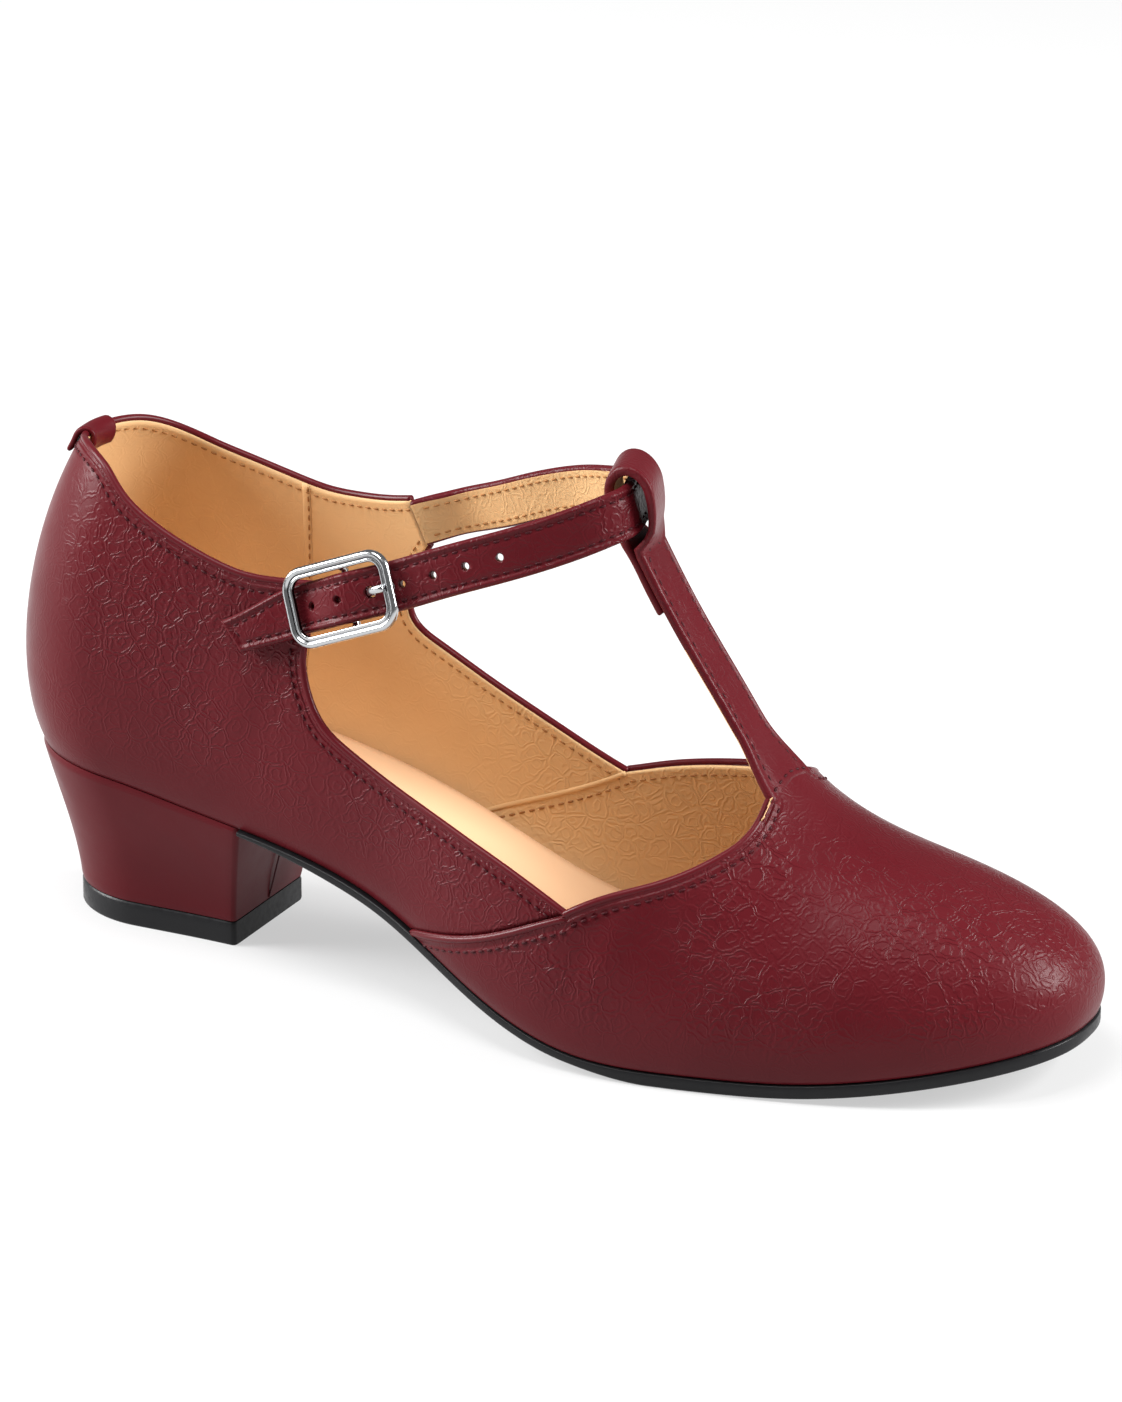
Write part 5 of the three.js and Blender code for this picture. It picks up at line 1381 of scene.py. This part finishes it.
def t_strap_points():
    """The front face's middle line from the vamp up, round the loop and down behind the strap."""
    centre = path_point(*LOOP_PLACE)
    out = np.array((math.cos(STRAP_LEAN), 0, math.sin(STRAP_LEAN)))
    up = np.array((-math.sin(STRAP_LEAN), 0, math.cos(STRAP_LEAN)))
    at = lambda depth, height: centre + out * depth + up * height
    foot = -STRAP_WIDTH / 2 - LOOP_FOOT
    wide = STRAP_WIDTH / 2 - LOOP_CROWN_DROP
    crown = STRAP_WIDTH / 2 + LOOP_HEAD - wide + LOOP_WALL
    depth = half_strap + LOOP_SLACK + LOOP_WALL
    girth = 0.99
    x = SHOE_LENGTH * TONGUE_EDGE[4][2][0] + T_STRAP_LAP
    normal = last_frame("lateral", x, girth)[0] * (1, 0, 1)
    start = last_point("lateral", x, 1.0) + unit(normal) * LAP_STEP / 2
    rise = [path_point(*row) for row in T_STRAP_PATH]
    front = [at(loop_half_depth(h) + LOOP_WALL, h) for h in foot + (wide - foot) * np.arange(1, 6) / 6]
    angles = np.linspace(0, np.pi, CROWN_STEPS)
    crown_points = [at(depth * math.cos(a), wide + crown * math.sin(a)) for a in angles]
    behind = [at(-loop_half_depth(h) - LOOP_WALL, h) for h in foot + (wide - foot) * np.arange(5, 1, -1) / 6]
    lower, lower_length = through_points([start] + rise + [at(LOOP_WALL, foot)])
    rising = lower(np.linspace(0, lower_length, T_STRAP_STEPS))
    return rising, np.array(front + crown_points + behind), at(LOOP_WALL, foot)[2]


def yaw_loop(points, from_height):
    turn = LOOP_YAW * smooth((points[:, 2] - from_height) / LOOP_FOOT)
    points[:, 0] -= turn * points[:, 1]
    return points


def t_strap_base(across):
    """Points and normals of the vamp's skin where the strap starts, for places -1 to 1 across it."""
    first, _, last = TONGUE_EDGE[4]
    to_middle = 1 - np.abs(across)
    girth = first[1] + (1 - first[1]) * to_middle
    x = SHOE_LENGTH * (first[0] + (last[0] - first[0]) * to_middle) + T_STRAP_LAP
    points = np.zeros((len(across), 3))
    normals = np.zeros((len(across), 3))
    for side, chosen in (("lateral", across < 0), ("medial", across >= 0)):
        normal = last_frame(side, x[chosen], np.minimum(girth[chosen], 0.99))[0]
        points[chosen] = last_point(side, x[chosen], girth[chosen])
        normals[chosen] = normal
    middle = np.abs(across) < 1e-6
    normals[middle] = unit(normals[middle] * (1, 0, 1))
    return points + normals * LAP_STEP / 2, normals


def make_t_strap():
    rising, loop, foot_height = t_strap_points()
    half = T_STRAP_WIDTH / 2
    steps = across_steps(half)
    base, base_normals = t_strap_base(steps / half)
    middle = len(steps) // 2
    line = np.concatenate([rising, loop])
    run = unit(np.gradient(line, axis=0))
    outs = unit(np.cross(ACROSS, run))
    start = rising[0]
    rings = []
    for i, (point, out) in enumerate(zip(line, outs)):
        in_rise = i < len(rising)
        hold = 1 - smooth(np.linalg.norm(point - start) / T_STRAP_FLARE) if in_rise else 0
        thick = T_STRAP_THICKNESS if in_rise else LOOP_WALL
        gap = half - np.abs(steps)
        straight = point + ACROSS * steps[:, None]
        held = base + (point - base[middle])
        held[:, 1] = base[:, 1]
        place = straight * (1 - hold) + held * hold
        facing = unit(out * (1 - hold) + base_normals * hold)
        if in_rise:
            front = rolled_height(gap, thick / 2, bead=T_STRAP_BEAD, valley=T_STRAP_VALLEY)
        else:
            swell = smooth((i - len(rising)) / 6) * smooth((len(line) - i) / 6)
            front = flat_height(gap, thick / 2) + LOOP_RIM * swell
        face = place + facing * (front - thick / 2)[:, None]
        rear = place - facing * (flat_height(gap, thick / 2) + thick / 2)[:, None]
        rings.append(np.concatenate([face, rear[::-1][1:-1]]))
    points, faces = sweep(np.array(rings))
    points = yaw_loop(points, foot_height)
    sides = len(rings[0])
    slots = []
    for i in range(len(rings) - 1):
        for k in range(sides):
            inner = len(steps) <= k < sides - 1
            slots.append(1 if inner and i < len(rising) - T_STRAP_UNLINED else 0)
    slots += [0, 0]
    facts = {"edge": np.full(len(points), FAR_FROM_EDGE), "grain": np.full(len(points), 0.35)}
    strap = add_object("t_strap_cover", points, faces, [grained, lining], slots, facts)
    dress(strap, "upper_leather", "t_strap")

    front = []
    inset = half - STRAP_STITCH_INSET
    lengths = lengths_along(rising)
    sides = lengths < lengths[-1] - T_STRAP_ARCH
    sides[:3] = False
    for edge in (-1, 1):
        across = edge * inset / half
        foot_point, foot_normal = t_strap_base(np.array([across]))
        rows = []
        facing = []
        for point, out in zip(rising, outs[:len(rising)]):
            hold = 1 - smooth(np.linalg.norm(point - start) / T_STRAP_FLARE)
            held = foot_point[0] + point - base[middle]
            held[1] = foot_point[0][1]
            rows.append((point + ACROSS * edge * inset) * (1 - hold) + held * hold)
            facing.append(unit(out * (1 - hold) + foot_normal[0] * hold))
        rows = np.array(rows) - np.array(facing) * STITCH_SINK
        front += stitch_parts(rows[sides], np.array(facing)[sides])
    angles = np.linspace(0, np.pi, 25)
    arch = lengths[-1] - T_STRAP_ARCH * (1 - np.sin(angles))
    facing = unit(np.stack([np.interp(arch, lengths, outs[:len(rising), k]) for k in range(3)], axis=-1))
    arch_line = natural_spline(lengths, rising)(arch) + ACROSS * (np.cos(angles) * inset)[:, None]
    front += stitch_parts(arch_line - facing * STITCH_SINK, facing)
    row_y = np.linspace(-0.8, 0.8, 9)
    foot_points, foot_normals = t_strap_base(row_y)
    across_line = foot_points + unit(rising[1] - rising[0]) * T_STRAP_FOOT_STITCH
    front += stitch_parts(across_line, foot_normals)
    dress_parts("t_strap_stitches", front, thread_and_painted_shade, "upper_leather")
    make_fold(line, outs, len(rising), foot_height)


def make_fold(line, outs, rising, foot_height):
    """The loop's end, folded back and stitched behind the strap."""
    half = T_STRAP_WIDTH / 2 - FOLD_INSET
    low = rising - 1
    while np.linalg.norm(line[low] - line[rising - 1]) < FOLD_LENGTH:
        low -= 1
    route = [line[-1] - outs[-1] * LOOP_WALL / 2]
    for i in range(rising - 1, low - 1, -1):
        route.append(line[i] - outs[i] * (T_STRAP_THICKNESS + FOLD_THICKNESS / 2))
    curve, whole = through_points([route[0], route[2], route[len(route) // 2], route[-1]])
    places = stations(whole, dense_end=True)
    facing = unit(np.cross(ACROSS, run_along(curve, places)))
    widths = np.tile(ACROSS, (len(places), 1))
    points, faces, _, _ = strap_mesh(
        curve(places), facing, widths, np.full(len(places), half), FOLD_THICKNESS / 2, whole - places,
        rolled_height, flat_height)
    points = yaw_loop(points, foot_height)
    facts = {"edge": np.full(len(points), FAR_FROM_EDGE), "grain": np.zeros(len(points))}
    dress(add_object("t_strap_fold", points, faces, [grained], attributes=facts), "upper_leather")


# The heel tab

def collar_place(side, out):
    curve = edge_curve(side, edge_named(side, "collar")[4], CURVE_SAMPLES)
    points = last_point(side, SHOE_LENGTH * curve[:, 0], curve[:, 1])
    return curve[np.argmax(np.abs(points[:, 1]) >= out)]


def make_heel_tab():
    """A band folded over the collar; its section runs up the outside, over the edge and down inside."""
    outer = HEEL_TAB_GAP - LAP_STEP / 2 + HEEL_TAB_THICKNESS / 2
    inner = -UPPER_WALL - HEEL_TAB_GAP - HEEL_TAB_THICKNESS / 2
    top = HEEL_TAB_GAP + HEEL_TAB_THICKNESS / 2
    middle = (outer + inner) / 2
    route = np.array((
        (outer, -HEEL_TAB_DROP, 0), (outer, -HEEL_TAB_DROP / 2, 0), (outer, -HEEL_TAB_GAP, 0),
        (middle + HEEL_TAB_CROWN, top, 0), (middle - HEEL_TAB_CROWN, top, 0),
        (inner, -HEEL_TAB_GAP, 0), (inner, -HEEL_TAB_INSIDE_DROP, 0),
    ))
    curve, whole = through_points(route)
    places = stations(whole, HEEL_TAB_PITCH, dense_start=True, dense_end=True)
    centre = curve(places)
    run = run_along(curve, places, RUN_STEP / 2)
    facing = np.stack([-run[:, 1], run[:, 0]], axis=-1)
    half = HEEL_TAB_WIDTH / 2
    steps = across_steps(half)
    flat_in = np.minimum(places, whole - places)
    frames = []
    for step in steps:
        side = "lateral" if step <= 0 else "medial"
        share, girth = collar_place(side, abs(step))
        x = SHOE_LENGTH * share
        upward = last_frame(side, np.array([x]), np.array([girth]))[1]
        frames.append((side, x, girth, unit(upward)[0], np.linalg.norm(upward)))
    rings = []
    for (depth, height, _), (face_out, face_up), end in zip(centre, -facing, flat_in):
        front = []
        rear = []
        for step, (side, x, girth, upward, reach) in zip(steps, frames):
            thick = flat_height(min(half - abs(step), end), HEEL_TAB_THICKNESS / 2)
            low = np.array([girth + min(height, 0) / reach])
            normal = last_frame(side, np.array([x]), low)[0][0]
            if abs(step) < 1e-6:
                normal = unit(normal * (1, 0, 1))
            middle = last_point(side, x, low[0]) + normal * depth + upward * max(height, 0)
            direction = normal * face_out + upward * face_up
            front.append(middle + direction * thick)
            rear.append(middle - direction * thick)
        rings.append(np.array(front + rear[::-1][1:-1]))
    points, faces = sweep(np.array(rings))
    dress(add_object("heel_tab_cover", points, faces, [plain]), "smooth_leather", "heel_tab")


# The buckle. The frame's section is in wire radii, outwards from the frame's middle and up from it.

BAND_SIDES = 24
BAND_SQUARENESS = 0.35
TAB_TURNS = 31
TAB_STEPS = 8
FRAME_SECTION = (
    (1.14, -0.35), (1.20, 0.10), (1.00, 0.62), (0.58, 0.98), (0.18, 0.98), (-0.12, 0.62), (-0.50, 0.50),
    (-0.82, 0.66), (-1.08, 0.52), (-1.16, 0.05), (-1.05, -0.55), (-0.60, -0.92), (0.0, -0.98), (0.7, -0.9),
)

# Parts of the frame's section drawn in the near-black steel, as sums of two neighbouring points over the
# wire's radius: the inner wall as painted shade and the top groove as a painted dark reflection
INNER_WALL = -1.9
GROOVE_PLACE = -0.5
GROOVE_HALF = 0.35


def make_buckle():
    half_width = STRAP_WIDTH / 2 + BUCKLE_SIDE_SLACK + wire_radius
    corner = BUCKLE_CORNER - wire_radius
    centres = []
    outward = []
    for end, side, start in ((1, 1, 0), (-1, 1, 1), (-1, -1, 2), (1, -1, 3)):
        for angle in np.pi / 2 * (start + np.linspace(0, 1, 13)):
            direction = np.array((math.cos(angle), math.sin(angle)))
            corner_middle = np.array((end * (half_frame - corner), side * (half_width - corner)))
            centres.append(corner_middle + corner * direction)
            outward.append(direction)
    section = np.array(FRAME_SECTION + FRAME_SECTION[:1])
    curve = natural_spline(lengths_along(section), section)
    outline = curve(np.linspace(0, lengths_along(section)[-1], 33)[:-1]) * wire_radius
    rings = []
    for (along, width), (out_along, out_width) in zip(centres, outward):
        rings.append(by_buckle(along + out_along * outline[:, 0], frame_lift + outline[:, 1],
                               width + out_width * outline[:, 0]))
    parts = [sweep(np.array(rings), closed=True)]
    bend = half_width - BAR_BEND
    lifts = np.array((frame_lift, (frame_lift - BAR_SINK) / 2, -BAR_SINK))
    widths = np.array((half_width, half_width - wire_radius / 3, bend))
    bar = by_buckle(0, np.concatenate([lifts, lifts[::-1]]), np.concatenate([widths, -widths[::-1]]))
    parts.append(sweep(tube_rings(bar, np.tile(buckle_run, (6, 1)), bar_radius, bar_radius, 16)))
    # These faces take the near-black steel: painted shade on the inner wall, a painted dark reflection in the
    # groove
    middle_of = outline + np.roll(outline, -1, axis=0)
    shaded = ((middle_of[:, 0] < INNER_WALL * wire_radius) & (middle_of[:, 1] < wire_radius)
              | (np.abs(middle_of[:, 0] / wire_radius - GROOVE_PLACE) < GROOVE_HALF) & (middle_of[:, 1] > 0))
    slots = np.tile(shaded, len(rings)).astype(int).tolist()
    points, faces = join_parts(parts)
    slots += [0] * (len(faces) - len(slots))
    dress(add_object("buckle_metal", points, faces, [metal, painted_shade_steel], slots), "steel", "buckle_frame")

    hook = bar_radius + FIT_GAP + PRONG_HALF_HEIGHT
    angles = np.array((math.pi / 4, 0, -math.pi / 4, -math.pi / 2, -3 * math.pi / 4))
    at_hole = strap_bump * math.cos(math.pi * PRONG_HOLE_PLACE / (2 * half_frame)) ** 2
    rest = frame_lift + wire_radius + PRONG_HALF_HEIGHT * 0.8
    along = list(hook * np.cos(angles)) + [
        0.0007 - PRONG_HOLE_PLACE, -PRONG_HOLE_PLACE, -PRONG_HOLE_PLACE - 0.0008,
        wire_radius + PRONG_HALF_HEIGHT - half_frame, 0.0002 - half_frame]
    out = list(hook * np.sin(angles) - BAR_SINK) + [
        at_hole - half_strap - FIT_GAP - PRONG_HALF_HEIGHT, at_hole, at_hole + half_strap + PRONG_HALF_HEIGHT,
        rest, rest]
    curve, whole = through_points(by_buckle(along, out, [0] * len(along)))
    places = np.linspace(0, whole, PRONG_STEPS)
    tip = np.sqrt(np.clip(1 - np.clip(1 - (whole - places) / PRONG_TIP, 0, 1) ** 2, 0.01, 1))
    run = unit(np.gradient(curve(places), axis=0))
    normals = unit(np.cross(run, buckle_width))
    rings = tube_rings(curve(places), normals, PRONG_HALF_HEIGHT * tip, PRONG_HALF_WIDTH * tip, 18)
    points, faces = sweep(rings)
    dress(add_object("prong_metal", points, faces, [metal]), "steel", "buckle_prong")


def band_rings(along, out, half_thick, middle, half_width):
    """Rings with rounded edges round a band seen edge on, at a place across the buckle."""
    path = np.stack([along, out], axis=-1)
    run = unit(np.gradient(path, axis=0))
    angle = turn_angles(BAND_SIDES)
    square = lambda value: np.sign(value) * np.abs(value) ** BAND_SQUARENESS
    thick = square(np.cos(angle))[None] * np.asarray(half_thick)[:, None]
    wide = middle + square(np.sin(angle))[None] * half_width
    return by_buckle(path[:, :1] + run[:, 1:] * thick, path[:, 1:] - run[:, :1] * thick, wide)


def make_buckle_tab():
    """A band folded round the centre bar and laid double behind it, with a slot for the prong."""
    inner = bar_radius + FIT_GAP
    outer = inner + BUCKLE_TAB_WRAP
    middle = (inner + outer) / 2
    layer = BUCKLE_TAB_THICKNESS / 4
    start = math.asin(BUCKLE_TAB_THICKNESS / 2 / outer)
    angles = np.linspace(start, 2 * math.pi - start, TAB_TURNS)
    behind = np.linspace(BUCKLE_TAB_LENGTH, outer, TAB_STEPS)
    flat = np.full(TAB_STEPS, layer)
    along = np.concatenate([behind, middle * np.cos(angles), behind[::-1]])
    out = np.concatenate([flat, middle * np.sin(angles), -flat]) - BAR_SINK
    half_thick = np.concatenate([flat, np.full(TAB_TURNS, BUCKLE_TAB_WRAP / 2), flat])
    edge = (BUCKLE_TAB_WIDTH / 2 + PRONG_SLOT_WIDTH / 2) / 2
    half = (BUCKLE_TAB_WIDTH / 2 - PRONG_SLOT_WIDTH / 2) / 2
    parts = [sweep(band_rings(along, out, half_thick, side * edge, half)) for side in (-1, 1)]
    behind = np.linspace(1.5 * outer, BUCKLE_TAB_LENGTH, TAB_STEPS)
    for side in (-1, 1):
        level = side * flat - BAR_SINK
        parts.append(sweep(band_rings(behind, level, flat, 0, PRONG_SLOT_WIDTH / 2 + half)))
    points, faces = join_parts(parts)
    dress(add_object("buckle_tab_cover", points, faces, [plain]), "upper_leather", "buckle_tab")


# Camera, floor and light

PHOTO_SIZE = (1122, 1402)
FOCAL_PIXELS = 6680
SENSOR = 36.0
CAMERA_AZIMUTH = math.radians(27.1)
CAMERA_ELEVATION = math.radians(21.1)
CAMERA_DISTANCE = 1.4465
CAMERA_TARGET = np.array((0.1274, 0.0, 0.0661)) - ORIGIN
FLOOR_SIZE = 9
FLOOR_GLOW = 0.55
WORLD_LIGHT = 0.2
LIGHTS = (
    ("left", (-1.35, -0.5, 0.8), (0.03, 0, 0.06), (0.9, 0.9), 52),
    ("right", (1.2, 0.35, 0.7), (0.17, 0, 0.04), (0.6, 0.7), 30),
    ("top", (-0.1, -0.35, 1.45), (0.08, 0, 0.04), (0.8, 0.6), 15),
)


def add_camera():
    toward = np.array((
        math.sin(CAMERA_AZIMUTH) * math.cos(CAMERA_ELEVATION),
        -math.cos(CAMERA_AZIMUTH) * math.cos(CAMERA_ELEVATION),
        math.sin(CAMERA_ELEVATION),
    ))
    data = bpy.data.cameras.new("camera")
    data.sensor_width = SENSOR
    data.lens = FOCAL_PIXELS / max(PHOTO_SIZE) * SENSOR
    camera = bpy.data.objects.new("camera", data)
    camera.location = Vector(CAMERA_TARGET + toward * CAMERA_DISTANCE)
    camera.rotation_euler = Vector(-toward).to_track_quat("-Z", "Y").to_euler()
    bpy.context.scene.collection.objects.link(camera)
    bpy.context.scene.camera = camera


def add_light(name, place, target, size, watts):
    data = bpy.data.lights.new(name, "AREA")
    data.shape = "RECTANGLE"
    data.size, data.size_y = size
    data.energy = watts
    light = bpy.data.objects.new(name, data)
    light.location = place
    light.rotation_euler = (Vector(target) - Vector(place)).to_track_quat("-Z", "Y").to_euler()
    bpy.context.scene.collection.objects.link(light)


def add_studio():
    floor_material, _, shader = new_material("floor", (0.28, 0.28, 0.28), 0.9)
    shader.inputs["Emission Color"].default_value = (1, 1, 1, 1)
    shader.inputs["Emission Strength"].default_value = FLOOR_GLOW
    bpy.ops.mesh.primitive_plane_add(size=FLOOR_SIZE, location=(0, 0, 0))
    floor = bpy.context.object
    floor.name = "floor"
    floor.data.materials.append(floor_material)
    world = bpy.data.worlds.new("studio")
    world.use_nodes = True
    world.node_tree.nodes["Background"].inputs["Color"].default_value = (1, 1, 1, 1)
    world.node_tree.nodes["Background"].inputs["Strength"].default_value = WORLD_LIGHT
    bpy.context.scene.world = world
    bpy.context.scene.view_settings.view_transform = "Standard"
    for light in LIGHTS:
        add_light(*light)


make_upper()
make_edge_cords()
make_upper_stitches()
make_outsole()
make_insole()
make_heel()
make_ankle_strap()
make_t_strap()
make_heel_tab()
make_buckle()
make_buckle_tab()
add_camera()
add_studio()
